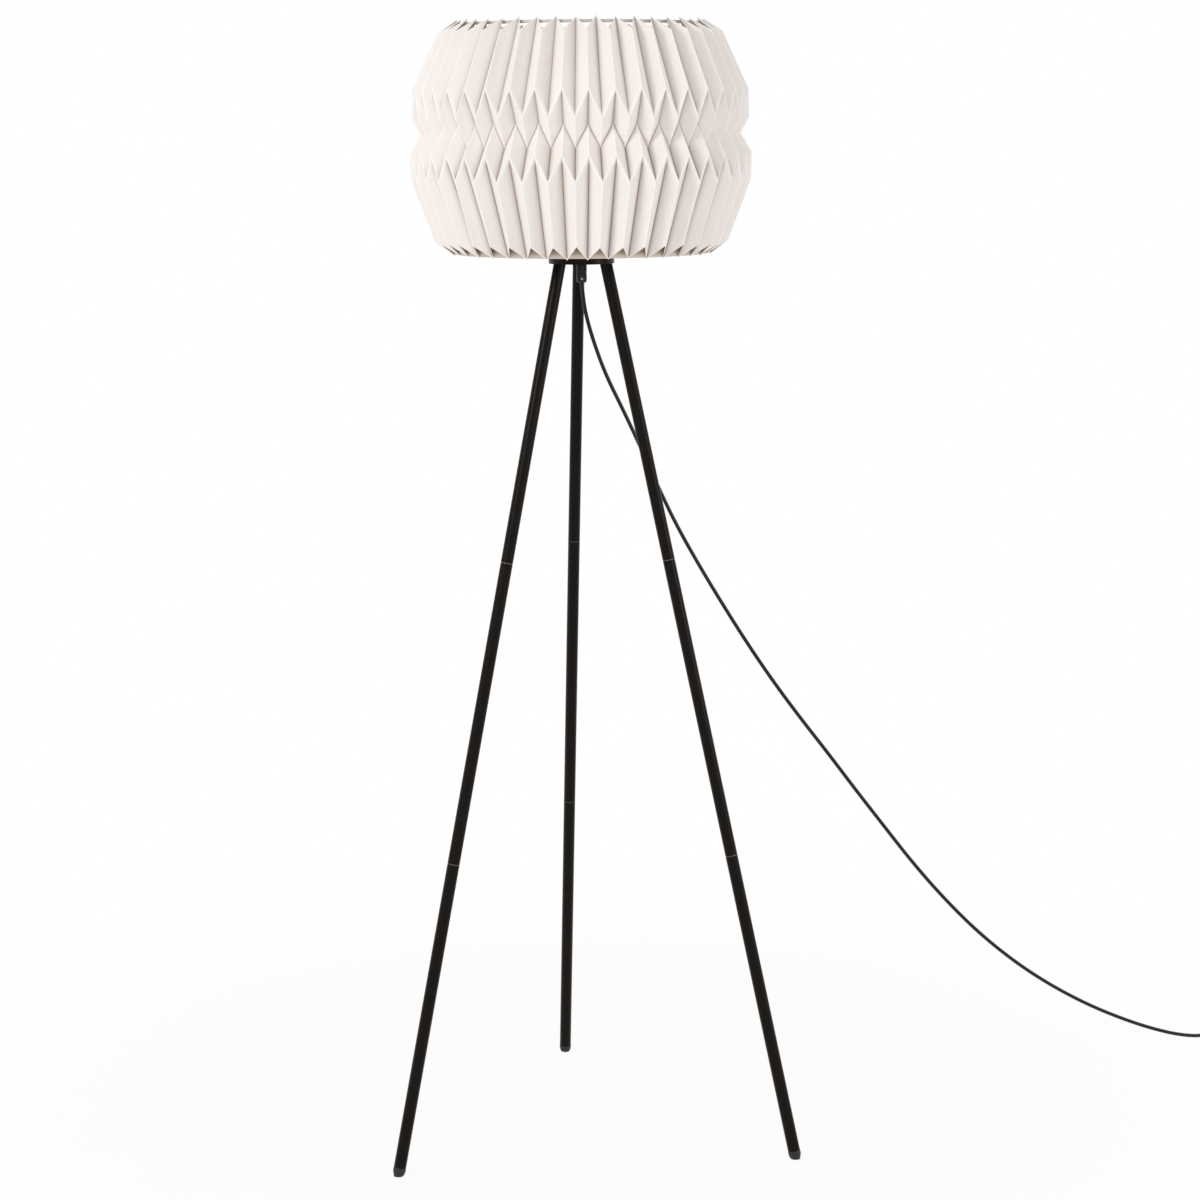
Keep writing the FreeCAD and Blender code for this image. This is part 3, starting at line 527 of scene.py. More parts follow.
@dataclass
class SubAssembly:
    """What every sub-assembly is built on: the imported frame, the lamp's upright axis and the materials."""

    frame: dict
    axis: Vector
    materials: dict[Surface, Material]

    def at(self, height: float) -> Vector:
        """Gives the point of the lamp's axis at a height above the floor."""
        return self.axis + UP * height

    def fit(self, piece: Piece, surface: Surface, *nodes: str, body: Body = Body.LAMP,
            slot: str = "") -> Piece:
        """Gives a piece its material and body, hides the CAD nodes that it stands for, and reports it.

        Args:
            piece: The piece.
            surface: Its finish.
            nodes: The CAD nodes that it stands for.
            body: The body that it rides on.
            slot: The record's material slot, where it isn't named as the finish is; not used.

        Returns:
            The same piece.
        """
        piece.data.materials.append(self.materials[surface])
        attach(piece, body.value)
        if nodes:
            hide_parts(*nodes)
        LOG.info("%s on %s", piece.name, body.value)
        return piece

    def dress_node(self, name: str, surface: Surface, ease: float = 0.0) -> None:
        """Gives a shown CAD node a better material and, where asked, an eased edge.

        Args:
            name: Name of the CAD node.
            surface: Its finish.
            ease: Width of the eased edge.
        """
        node = self.frame["nodes"][name]
        for slot in node.material_slots:
            slot.material = self.materials[surface]
        if ease:
            edge = node.modifiers.new("eased_edge", "BEVEL")
            edge.width = ease
            edge.segments = 2
            edge.limit_method = "ANGLE"
            edge.angle_limit = BOLD_EDGE


# ---- camera, light and floor


@dataclass
class Studio:
    """The camera at the photograph's place, plain soft light, and a pale floor that fades into the backdrop."""

    focal_px: float = 2742.2
    place: Point = (-0.3644, -3.5693, 1.3579)
    yaw: float = -0.09829
    pitch: float = -0.11017
    roll: float = -0.00623
    shift: tuple[float, float] = (0.0225, -0.15)
    sensor: float = 36.0
    clip: tuple[float, float] = (0.05, 200.0)
    floor_half: float = 30.0
    floor_colour: Colour = (0.95, 0.95, 0.95)
    floor_roughness: float = 0.9
    fade: tuple[float, float] = (0.5, 1.3)
    near_white: float = 0.9
    target: Point = (0.0, 0.0, 1.1)
    room_level: float = 0.68
    room_colour: Colour = (1.0, 0.985, 0.97)
    white: Colour = (1.0, 1.0, 1.0)

    def camera(self, axis: Vector) -> None:
        """Makes the camera, which looks slightly down from the height of the shade.

        Args:
            axis: The foot of the lamp's upright axis.
        """
        data = bpy.data.cameras.new("portrait_camera")
        data.sensor_width = self.sensor
        data.lens = self.focal_px / PHOTO_SIDE * self.sensor
        data.shift_x, data.shift_y = self.shift
        data.clip_start, data.clip_end = self.clip
        camera = linked(bpy.data.objects.new("portrait_camera", data))
        turns = ((self.yaw, "Z"), (math.pi / 2 + self.pitch, "X"), (self.roll, "Z"))
        matrix = Matrix.Translation(axis + Vector(self.place))
        for angle, about in turns:
            matrix = matrix @ Matrix.Rotation(angle, 4, about)
        camera.matrix_world = matrix
        bpy.context.scene.camera = camera

    def lamp(self, name: str, place: Point, size: float, power: float, colour: Colour) -> None:
        """Adds one soft area light that faces the lamp.

        Args:
            name: Name of the light.
            place: Where it stands.
            size: Side of its square face.
            power: Power in watts.
            colour: Its colour.
        """
        data = bpy.data.lights.new(name, "AREA")
        data.shape = "SQUARE"
        data.size = size
        data.energy = power
        data.color = colour
        light = linked(bpy.data.objects.new(name, data))
        light.matrix_world = placed(Vector(place), Vector(place) - Vector(self.target))

    def lights(self) -> None:
        """Adds the soft key from the front left, a weak fill from the right, and the white world."""
        self.lamp("key_light", place=(-2.6, -2.4, 2.4), size=1.1, power=42.0, colour=(1.0, 0.985, 0.98))
        self.lamp("fill_light", place=(2.9, -1.9, 1.3), size=1.0, power=17.0, colour=(1.0, 0.955, 0.92))
        world = bpy.data.worlds.new("studio_world")
        bpy.context.scene.world = world
        world.use_nodes = True
        tree = world.node_tree
        room = tree.nodes["Background"]
        feed(tree, room, {"Color": rgba(self.room_colour), "Strength": self.room_level})
        seen = add_node(tree, "ShaderNodeBackground", {"Color": rgba(self.white), "Strength": 1.0})
        mix = add_node(tree, "ShaderNodeMixShader", {0: self.seen_directly(tree), 1: room.outputs[0],
                                                     2: seen.outputs[0]})
        tree.links.new(mix.outputs[0], tree.nodes["World Output"].inputs["Surface"])

    def seen_directly(self, tree: Tree) -> Socket:
        """Tells the rays that show the backdrop from those that light the lamp.

        Args:
            tree: The tree that needs the test.

        Returns:
            1 for a ray from the camera, off a glossy surface or through glass, and otherwise 0.
        """
        path = add_node(tree, "ShaderNodeLightPath")
        either = path.outputs["Is Camera Ray"]
        for ray in ("Is Transmission Ray", "Is Glossy Ray"):
            either = maths(tree, "MAXIMUM", either, path.outputs[ray])
        return either

    def floor(self) -> None:
        """Adds the pale floor: it keeps the lamp's shadow and fades to white further off."""
        half = self.floor_half
        corners = [Vector((x * half, y * half, 0)) for x, y in ((-1, -1), (1, -1), (1, 1), (-1, 1))]
        piece = new_object("studio_floor", corners, [(0, 1, 2, 3)])
        material, tree, shader = new_material("floor_white")
        feed(tree, shader, {"Base Color": rgba(self.floor_colour), "Roughness": self.floor_roughness,
                            "Specular IOR Level": 0.0})
        white = add_node(tree, "ShaderNodeEmission", {"Color": rgba(self.white), "Strength": 1.0})
        place = add_node(tree, "ShaderNodeTexCoord").outputs["Object"]
        away = add_node(tree, "ShaderNodeVectorMath", {0: place}, operation="LENGTH").outputs["Value"]
        start, end = self.fade
        far = add_node(tree, "ShaderNodeMapRange", {"Value": away, "From Min": start, "From Max": end,
                                                    "To Min": self.near_white}, interpolation_type="SMOOTHSTEP")
        seen = maths(tree, "MULTIPLY", self.seen_directly(tree), far.outputs[0])
        mix = add_node(tree, "ShaderNodeMixShader", {0: seen, 1: shader.outputs[0], 2: white.outputs[0]})
        tree.links.new(mix.outputs[0], tree.nodes["Material Output"].inputs["Surface"])
        piece.data.materials.append(material)


# ---- cord


@dataclass
class Cord(SubAssembly):
    """The mains cord: one length to the foot switch, and one through the put-away coil to the plug."""

    diameter: float = 0.0052
    lamp_length: float = 1.57
    plug_length: float = 0.84
    route: tuple[Point, ...] = (
        (0, 0, 1.1465), (0.0015, 0.0004, 1.124), (0.0063, 0.0016, 1.096), (0.0165, 0.0043, 1.062),
        (0.0319, 0.0083, 1.02), (0.0542, 0.014, 0.975), (0.0779, 0.0202, 0.925), (0.1012, 0.0262, 0.872),
        (0.1268, 0.0328, 0.818), (0.1568, 0.0406, 0.764), (0.1902, 0.0492, 0.708), (0.2251, 0.0582, 0.652),
        (0.2624, 0.0679, 0.596), (0.303, 0.0784, 0.54), (0.3461, 0.0895, 0.484), (0.3877, 0.1003, 0.428),
        (0.4313, 0.1115, 0.371), (0.4758, 0.1231, 0.313), (0.5262, 0.1361, 0.254), (0.5857, 0.1515, 0.193),
        (0.6583, 0.1703, 0.133), (0.7387, 0.191, 0.081), (0.8161, 0.2111, 0.042), (0.8762, 0.2266, 0.018),
        (0.9178, 0.2374, 0.0065), (0.9449, 0.2444, 0.0042), (0.9681, 0.2504, 0.0055),
    )
    switch_lead: tuple[Point, ...] = (
        (1.0572, 0.2734, 0.0055), (1.0746, 0.2779, 0.0041), (1.0962, 0.2735, 0.0029), (1.1136, 0.26, 0.0027),
        (1.1233, 0.2402, 0.0027), (1.1252, 0.214, 0.0027), (1.1233, 0.18, 0.0027), (1.1233, 0.1552, 0.0027),
    )
    plug_lead: tuple[Point, ...] = (
        (1.1233, 0.1448, 0.0087), (1.1233, 0.126, 0.0087), (1.1206, 0.102, 0.0069), (1.1206, 0.086, 0.0069),
    )
    coil_centre: tuple[float, float] = (1.0713, 0.15)
    coil_radius: float = 0.052
    coil_pitch: float = 0.006
    coil_turns: int = 2
    coil_layer: float = 0.006
    points_per_turn: int = 16

    def coil_point(self, turn: float) -> Point:
        """Gives the cord line after a number of turns: in, up a layer and out again.

        Args:
            turn: Turns since the coil's start.

        Returns:
            The point, from the lamp's axis.
        """
        angle = -2 * math.pi * turn
        radius = self.coil_radius - self.coil_pitch * min(turn, self.coil_turns - turn)
        climb = min(max((turn - self.coil_turns / 2) * 2 + 0.5, 0.0), 1.0)
        height = self.switch_lead[-1][2] + self.coil_layer * climb ** 2 * (3 - 2 * climb)
        x, y = self.coil_centre
        return (x + radius * math.cos(angle), y + radius * math.sin(angle), height)

    def build(self) -> dict[str, Piece]:
        """Makes both lengths.

        Returns:
            The two curves by name.
        """
        inner = range(1, self.coil_turns * self.points_per_turn)
        coil = [self.coil_point(step / self.points_per_turn) for step in inner]
        curves = {}
        for name, points, nodes in (("lamp", self.route, ("lamp_cord",)),
                                    ("plug", (*self.switch_lead, *coil, *self.plug_lead),
                                     ("switch_cord", "cord_coil", "plug_cord"))):
            line = [self.axis + Vector(point) for point in points]
            curves[name] = self.fit(tube_along(name + "_cord_length", line, self.diameter), Surface.JACKET, *nodes)
        return curves

    def declare(self, curves: dict[str, Piece], on_lamp: Sequence[Piece],
                on_plug: Sequence[Piece]) -> None:
        """Takes both lengths with what is on them, and does nothing with them.

        Args:
            curves: The two curves by name; not used.
            on_lamp: The pieces of the gland and the foot switch; not used.
            on_plug: The pieces of the plug; not used.
        """


# ---- shade


@dataclass
class PaperShade(SubAssembly):
    """The pleated paper: 41 pleats whose folds swap between crest and trough at each bulge."""

    pleats: int = 41
    turn: float = math.radians(-3.22)
    thickness: float = 0.0006
    first_fold: tuple[Ring, ...] = ((0.185, 1.466), (0.2185, 1.392), (0.199, 1.35), (0.2215, 1.311), (0.168, 1.1805))
    second_fold: tuple[Ring, ...] = ((0.16, 1.482), (0.2185, 1.3555), (0.199, 1.319), (0.2215, 1.277), (0.191, 1.1965))
    across: tuple[float, ...] = (0.0, 0.025, 0.09, 0.22, 0.4, 0.6, 0.78, 0.91, 0.975)
    down: tuple[float, ...] = (0.0, 0.02, 0.08, 0.2, 0.35, 0.5, 0.65, 0.8, 0.92, 0.98)
    bow: float = 0.0011
    wander: float = 0.0009
    sway: float = 2.5
    edge_wander: float = 0.4
    # Widths and strengths of the painted highlight on crests and bulge creases, and of the painted shade towards the
    # valley folds and along the waist creases
    crest_wide: float = 0.07
    bulge_wide: float = 0.05
    shade_wide: float = 0.5
    shade_power: float = 2.2
    shade_share: float = 0.55
    upper_shade: float = 0.7
    waist_wide: float = 0.04
    waist_shade: float = 0.5
    hem_clear: float = 0.0012
    hem_high: float = 0.0135
    hem_gap: float = 0.0007
    hem_zigzag: float = 0.0003
    seed: int = 11
    noise: random.Random = field(init=False)

    def __post_init__(self) -> None:
        """Seeds the hand-folded unevenness."""
        self.noise = random.Random(self.seed)

    def angle_of(self, line: int) -> float:
        """Gives the ideal angle of a fold line."""
        return self.turn - math.pi / 2 + line * math.pi / self.pleats

    def fold_ends(self) -> list[list[Vector]]:
        """Places the ends of every fold line, each a little off its ideal place.

        Returns:
            The points of each fold line, from the top rim down, from the lamp's axis.
        """
        lines = []
        for line in range(self.pleats * 2):
            angle = self.angle_of(line) + self.noise.uniform(-1, 1) * self.wander * self.sway
            fold = self.second_fold if line % 2 else self.first_fold
            points = []
            for level, (radius, height) in enumerate(fold):
                limits = (0, self.edge_wander) if level in (0, len(fold) - 1) else (-1, 1)
                reach = radius + self.noise.uniform(*limits) * self.wander
                lift = self.noise.uniform(-1, 1) * self.wander
                points.append(polar(reach, angle, height + lift))
            lines.append(points)
        return lines

    def build(self) -> None:
        """Makes the paper as one bowed and creased sheet, and the band inside its hem."""
        lines = self.fold_ends()
        count, tiers, steps = len(lines), len(self.first_fold) - 1, len(self.down)
        rows = tiers * steps + 1
        vertices: list[Vector] = []
        marks: list[tuple[float, float]] = []
        for line, near in enumerate(lines):
            far = lines[(line + 1) % count]
            bows = [self.bow * self.noise.uniform(0.3, 1.0) * self.noise.choice((-0.6, 1.0)) for _ in range(tiers)]
            for u in self.across:
                for row in range(rows):
                    tier = min(row // steps, tiers - 1)
                    v = (*self.down, 1.0)[row - tier * steps]
                    corners = (near[tier], near[tier + 1], far[tier], far[tier + 1])
                    vertices.append(self.axis + self.bowed(corners, u, v, bows[tier]))
                    marks.append(self.mark(line, tier, u, v, row in (0, rows - 1)))
        columns = count * len(self.across)
        faces = []
        for column in range(columns):
            for row in range(rows - 1):
                here, there = column * rows + row, (column + 1) % columns * rows + row
                faces.append((here, here + 1, there + 1, there))
        # The crease and valley attributes carry the painted highlight and the painted shade
        piece = self.sheet("pleated_paper_shade", vertices, faces, dict(zip(("crease_highlight", "valley_shade"), zip(*marks))))
        self.fit(piece, Surface.PAPER, "paper_shade")
        # The inner face of the paper takes the darker copy of it, painted shade for the inside of the lampshade
        piece.data.materials.append(self.materials[Surface.PAPER_INSIDE])
        self.hem_band()

    def bowed(self, corners: Sequence[Vector], u: float, v: float, bow: float) -> Vector:
        """Finds a point of a panel that bows a little between its folds.

        Args:
            corners: The near fold's upper and lower end, and the far fold's.
            u: Share of the way to the far fold.
            v: Share of the way down.
            bow: How far the panel's middle bows.

        Returns:
            The point.
        """
        near_top, near_low, far_top, far_low = corners
        point = near_top.lerp(near_low, v).lerp(far_top.lerp(far_low, v), u)
        sideways = far_top - near_top + far_low - near_low
        downwards = near_low - near_top + far_low - far_top
        return point + sideways.cross(downwards).normalized() * (
            math.sin(math.pi * u) * (1 - (2 * v - 1) ** 4) * bow)

    def mark(self, line: int, tier: int, u: float, v: float, at_edge: bool) -> tuple[float, float]:
        """Rates how much painted highlight and painted shade a point gets: pale on crests, cut edges and bulge creases,
        warm and dark towards valley folds and along the waist creases.

        Args:
            line: Number of the fold line on the point's near side.
            tier: Number of the band between two creases.
            u: Share of the way to the next fold line.
            v: Share of the way down the band.
            at_edge: Whether the point lies on the paper's cut edge.

        Returns:
            The painted highlight and the painted shade, both from 0 to 1.
        """
        # In even bands the first kind of fold stands out, and in odd bands the second kind does
        from_crest = u if (line + tier) % 2 == 0 else 1 - u
        from_valley = 1 - from_crest
        from_line = min(v, 1 - v)
        at_bulge = (v > 0.5) == (tier in (0, 2)) and v != 0.5
        # Painted highlight: paler along the crest folds, the bulge creases and the paper's cut edges
        crest = max(0.0, 1 - from_crest / self.crest_wide)
        if at_bulge:
            crest = max(crest, 1 - from_line / self.bulge_wide)
        if at_edge:
            crest = 1.0
        # Painted shade: darker and warmer towards each valley fold, weaker in the upper bands, and along the waist
        # creases
        soft = max(0.0, 1 - from_valley / self.shade_wide) ** self.shade_power
        deep = max(0.0, 1 - from_valley / self.crest_wide)
        valley_shade = self.shade_share * soft + (1 - self.shade_share) * deep
        valley_shade *= self.upper_shade if tier < 2 else 1.0
        if not at_bulge and from_line < self.waist_wide and tier in (1, 2):
            valley_shade = max(valley_shade, self.waist_shade)
        return crest, valley_shade * (1 - crest)

    def hem_band(self) -> None:
        """Makes the paper band that ties the pleats together just inside the hem, in the paper's painted-shade inside
        colour, with a painted highlight along its lower edge.
        """
        (high_out, high), (low_out, low) = self.first_fold[-2:]
        lean = (high_out - low_out) / (high - low)
        sides = self.pleats * 2
        heights = [low + self.hem_clear + self.hem_high * share for share in (0, 0.5, 1)]
        vertices = []
        for height in heights:
            for side in range(sides):
                reach = low_out + (height - low) * lean - self.hem_gap - (0.0 if side % 2 else self.hem_zigzag)
                vertices.append(self.axis + polar(reach, self.angle_of(side), height))
        faces = []
        for row in range(len(heights) - 1):
            for side in range(sides):
                here, there = row * sides + side, row * sides + (side + 1) % sides
                faces.append((here, there, there + sides, here + sides))
        # Painted highlight along the band's lower edge
        edge = [1.0] * sides + [0.0] * (len(vertices) - sides)
        piece = self.sheet("paper_hem_band_painted_shade", vertices, faces, {"crease_highlight": edge})
        self.fit(piece, Surface.PAPER_INSIDE, slot="shade_paper")

    def sheet(self, name: str, vertices: Sequence[Vector], faces: Sequence[Sequence[int]],
              marks: dict[str, Sequence[float]]) -> Piece:
        """Makes a sheet of paper with its thickness and its marks of painted highlight and painted shade.

        Args:
            name: Name of the piece.
            vertices: Its points.
            faces: Vertex numbers of each face.
            marks: A value of painted highlight or painted shade for each point, by mark.

        Returns:
            The sheet.
        """
        piece = new_object(name, vertices, faces)
        for mark, values in marks.items():
            piece.data.attributes.new(mark, "FLOAT", "POINT").data.foreach_set("value", values)
        solid = piece.modifiers.new("paper_thickness", "SOLIDIFY")
        solid.thickness = self.thickness
        solid.offset = 0.0
        # The inner face takes the next material, the darker copy of the paper that paints shade inside
        solid.material_offset = 1
        solid.use_even_offset = False
        return piece


# ---- stand


@dataclass
class Stand(SubAssembly):
    """The three-legged stand: coated tubes, steel collars at the joints, moulded feet and the plate."""

    azimuths: tuple[tuple[str, float], ...] = (("right", 330.0), ("rear", 90.0), ("left", 210.0))
    plate_under: float = 1.1675
    plate_ease: float = 0.0006
    top_ring: float = 0.035
    foot_ring: float = 0.3
    collar: float = 0.0076
    collar_long: float = 0.00085
    collar_seat: float = 0.0005
    foot_high: float = 0.011
    sections: int = 3
    foot_profile: tuple[Ring, ...] = ((0.0, 0.0112), (0.0082, 0.0112), (0.0082, 0.0052), (0.0058, -0.0012),
                                      (0.0052, -0.006), (0.0, -0.006))

    def build(self) -> None:
        """Dresses the legs and the plate, and adds the collars and the feet."""
        half = self.collar_long / 2
        ring = softened([(0.0, -half), (self.collar, -half), (self.collar, half), (0.0, half)], 0.0001, 2)
        for side, azimuth in self.azimuths:
            top = self.at(self.plate_under) + heading(azimuth) * self.top_ring
            toe = self.axis + heading(azimuth) * self.foot_ring
            down = (toe - top).normalized()
            section = ((toe - top).length - self.foot_high) / self.sections
            for joint in range(1, self.sections):
                middle = top + down * (section * joint - self.collar_seat)
                collar = lathe(f"joint_collar_{side}_{joint}", ring, placed(middle, down), 48)
                self.fit(collar, Surface.COLLAR, slot="stand_black")
            self.foot(side, placed(toe, -down))
            for name in ("upper", "middle", "lower"):
                self.dress_node(f"leg_{name}_{side}", Surface.COAT)
        self.dress_node("top_plate", Surface.COAT, self.plate_ease)

    def foot(self, side: str, place: Matrix) -> None:
        """Makes a moulded foot with a rounded end and a level sole.

        Args:
            side: Name of the leg.
            place: Placement at the leg's end on the floor, with Z up the leg.
        """
        piece = lathe("moulded_foot_" + side, softened(self.foot_profile, 0.0022, 6), place, 48)
        mesh = bmesh.new()
        mesh.from_mesh(piece.data)
        cut = bmesh.ops.bisect_plane(mesh, geom=mesh.verts[:] + mesh.edges[:] + mesh.faces[:], plane_co=(0, 0, 0),
                                     plane_no=(0, 0, -1), clear_outer=True)
        sole = [item for item in cut["geom_cut"] if isinstance(item, bmesh.types.BMEdge)]
        bmesh.ops.contextual_create(mesh, geom=sole)
        mesh.to_mesh(piece.data)
        mesh.free()
        close_up(piece)
        self.fit(piece, Surface.PLASTIC, "foot_" + side, slot="foot_plastic")


@dataclass
class Gland(SubAssembly):
    """The cord gland under the plate, with its grip grooves and its small clamp screw."""

    length: float = 0.0255
    bore: float = 0.0029
    radius: float = 0.0069
    lower_part: tuple[Ring, ...] = ((0.0029, 0.003), (0.0029, 0.0), (0.0055, 0.0), (0.0069, 0.0018),
                                    (0.0069, 0.0125), (0.0064, 0.0131), (0.0064, 0.0139), (0.0069, 0.0145))
    groove: float = 0.00025
    grooves: int = 18
    grip_low: float = 0.0148
    grip_clear: float = 0.0008
    screw_high: float = 0.0052
    screw_profile: tuple[Ring, ...] = ((0.0, -0.001), (0.0014, -0.001), (0.0014, 0.0011), (0.0004, 0.0011),
                                       (0.0004, 0.0005), (0.0, 0.0005))
    screw_sunk: float = 0.0006
    screw_side: Point = (-0.03, -1.0, 0.0)

    def grip(self, angle: float, height: float) -> float:
        """Sinks the grip grooves into the sleeve's upper half.

        Args:
            angle: Angle about the sleeve.
            height: Height above its mouth.

        Returns:
            What is added to the radius.
        """
        if not self.grip_low < height < self.length - self.grip_clear:
            return 0.0
        return -self.groove * max(0.0, math.cos(angle * self.grooves)) ** 3

    def build(self) -> list[Piece]:
        """Makes the gland and its screw.

        Returns:
            The piece that goes with the cord.
        """
        low = heights_of("cord_gland")[1] - self.length
        profile = softened([*self.lower_part, (self.radius, self.length), (self.bore, self.length)], 0.0005, 3)
        sleeve = self.fit(lathe("gland_sleeve", profile, placed(self.at(low)), 108, self.grip), Surface.PLASTIC,
                           "cord_gland")
        side = Vector(self.screw_side).normalized()
        seat = self.at(low + self.screw_high) + side * (self.radius - self.screw_sunk)
        screw = lathe("gland_clamp_screw", softened(self.screw_profile, 0.0002, 2), placed(seat, side), 24)
        self.fit(screw, Surface.ZINC)
        self.dress_node("threaded_stem", Surface.ZINC)
        return [sleeve]


# ---- lampholder, bulb and carrier


@dataclass
class Lampholder(SubAssembly):
    """The lampholder: a moulded cap, a threaded sleeve, the ring nut and the brass contact."""

    stem: float = 0.0052
    cap_foot: float = 0.016
    cap_radius: float = 0.022
    cap_high: float = 0.026
    radius: float = 0.02
    bore: float = 0.0145
    sleeve_high: float = 0.027
    thread_pitch: float = 0.0025
    thread_deep: float = 0.0005
    thread_low: float = 0.004
    thread_clear: float = 0.002
    nut_bore: float = 0.0201
    nut_radius: float = 0.025
    nut_high: float = 0.007
    nut_rib: float = 0.0004
    nut_ribs: int = 24
    nut_ease: float = 0.0008
    contact_profile: tuple[Ring, ...] = ((0.0, 0.0), (0.004, 0.0), (0.004, 0.0014), (0.0018, 0.002), (0.0, 0.002))

    def thread(self, angle: float, height: float) -> float:
        """Cuts the outer thread that the ring nut runs on."""
        free = self.thread_low < height < self.sleeve_high - self.thread_clear
        return thread_cut(angle, height, self.thread_pitch, self.thread_deep) if free else 0.0

    def rib(self, angle: float, height: float) -> float:
        """Sinks the finger ribs into the ring nut's rim."""
        inside = self.nut_ease < height < self.nut_high - self.nut_ease
        return -self.nut_rib * max(0.0, math.cos(angle * self.nut_ribs)) if inside else 0.0

    def build(self) -> None:
        """Makes the four pieces."""
        wall = tall_wall(self.radius - 0.0002, 0.0, self.sleeve_high, 72)
        cap = softened([(self.stem, 0.0), (self.cap_foot, 0.0), (self.cap_radius, self.cap_high * 0.5),
                        (self.cap_radius, self.cap_high), (self.stem, self.cap_high)], 0.002, 6)
        sleeve = [(self.bore, 0.0), *wall, (self.radius - 0.0012, self.sleeve_high), (self.bore, self.sleeve_high),
                  (self.bore, 0.0)]
        nut = softened([(self.nut_bore, 0.0), (self.nut_radius, 0.0), (self.nut_radius, self.nut_high),
                        (self.nut_bore, self.nut_high)], 0.0006, 3) + [(self.nut_bore, 0.0)]
        contact = softened(self.contact_profile, 0.0004, 3)
        for name, node, profile, sides, surface, ripple in (
            ("lampholder_cap_moulding", "lampholder_cap", cap, 96, Surface.PLASTIC, None),
            ("lampholder_sleeve_moulding", "lampholder_sleeve", sleeve, 96, Surface.PLASTIC, self.thread),
            ("ring_nut_moulding", "shade_ring_nut", nut, 144, Surface.PLASTIC, self.rib),
            ("brass_contact", "holder_contact", contact, 32, Surface.BRASS, None),
        ):
            place = placed(self.at(heights_of(node)[0]))
            self.fit(lathe(name, profile, place, sides, ripple), surface, node)


@dataclass
class Bulb(SubAssembly):
    """The bulb: brass tip, rolled screw cap, white housing and opal dome."""

    tip: float = 0.0045
    cap_radius: float = 0.0132
    cap_cone: float = 0.0045
    thread_pitch: float = 0.00363
    thread_deep: float = 0.0006
    thread_run: float = 0.002
    thread_clear: float = 0.003
    neck: float = 0.0142
    base: float = 0.026
    dome: float = 0.03
    dome_steps: int = 40

    def rolled(self, angle: float, height: float) -> float:
        """Rolls the thread into the cap's barrel.

        Args:
            angle: Angle about the bulb.
            height: Height above the floor.

        Returns:
            What is added to the radius.
        """
        low, high = heights_of("bulb_cap")
        rise = min(max((height - low - self.cap_cone) / self.thread_run, 0.0), 1.0)
        fall = min(max((high - self.thread_clear - height) / self.thread_run, 0.0), 1.0)
        return thread_cut(angle, height, self.thread_pitch, self.thread_deep) * rise * fall

    def build(self) -> None:
        """Makes the four pieces on their bodies."""
        tip_low, tip_high = heights_of("bulb_tip")
        cap_low, cap_high = heights_of("bulb_cap")
        low, top = heights_of("bulb_housing")
        dome_low = heights_of("bulb_dome")[0]
        high = top - low
        tip = softened([(0.0, tip_low), (0.003, tip_low), (self.tip, tip_low + 0.0008), (self.tip, tip_high),
                        (0.0, tip_high)], 0.0004, 3)
        barrel = tall_wall(self.cap_radius, cap_low + self.cap_cone, cap_high, 64)
        cap = [(0.0, cap_low), (self.tip, cap_low), *barrel, (0.0, cap_high)]
        housing = softened([(0.0, low), (self.neck - 0.0006, low), (self.neck, low + 0.003),
                            (self.neck + 0.0018, low + high * 0.3), (self.base - 0.0012, low + high * 0.9),
                            (self.base, low + high * 0.96), (self.base, top), (0.0, top)], 0.004, 8)
        rise = math.sqrt(self.dome ** 2 - self.base ** 2)
        start = -math.atan2(rise, self.base)
        turns = [start + (math.pi / 2 - start) * step / self.dome_steps for step in range(self.dome_steps)]
        centre = dome_low + rise
        dome = [(0.0, dome_low), *((self.dome * math.cos(turn), centre + self.dome * math.sin(turn)) for turn in turns),
                (0.0, centre + self.dome)]
        for name, node, profile, sides, surface, body, ripple in (
            ("bulb_tip_contact", "bulb_tip", tip, 40, Surface.BRASS, Body.CONTACT, None),
            ("bulb_screw_cap", "bulb_cap", cap, 72, Surface.THREAD, Body.BULB, self.rolled),
            ("bulb_white_housing", "bulb_housing", housing, 96, Surface.HOUSING, Body.BULB, None),
            ("bulb_opal_dome", "bulb_dome", dome, 96, Surface.OPAL, Body.BULB, None),
        ):
            self.fit(lathe(name, profile, placed(self.axis), sides, ripple), surface, node, body=body)


@dataclass
class Carrier(SubAssembly):
    """The white carrier inside the shade, which keeps its CAD shape with eased edges."""

    nodes: tuple[str, ...] = ("shade_carrier", "shade_top_ring", *(f"shade_upright_{number}" for number in (1, 2, 3)))
    ease: float = 0.0003

    def build(self) -> None:
        """Dresses the carrier's nodes."""
        for name in self.nodes:
            self.dress_node(name, Surface.CARRIER, self.ease)


# ---- foot switch and plug


@dataclass
class Relief:
    """A tapered strain relief with flexing grooves, drawn from the housing to its mouth."""

    root: float = 0.0045
    mouth: float = 0.0035
    groove: float = 0.0006
    rings: int = 6

    def profile(self, length: float) -> list[Ring]:
        """Draws the relief's profile.

        Args:
            length: Its length.

        Returns:
            Points of radius and distance from the housing.
        """
        profile: list[Ring] = [(0.0, 0.0), (self.root, 0.0)]
        start, end = length * 0.16, length * 0.9
        pitch = (end - start) / self.rings
        for ring in range(self.rings):
            here = start + pitch * ring
            radius = self.root + (self.mouth - self.root) * here / length
            profile += [(radius, here), (radius - self.groove, here + pitch * 0.2),
                        (radius - self.groove, here + pitch * 0.5), (radius - 0.0001, here + pitch * 0.7)]
        return profile + [(self.mouth, length * 0.93), (self.mouth - 0.0004, length), (0.0, length)]


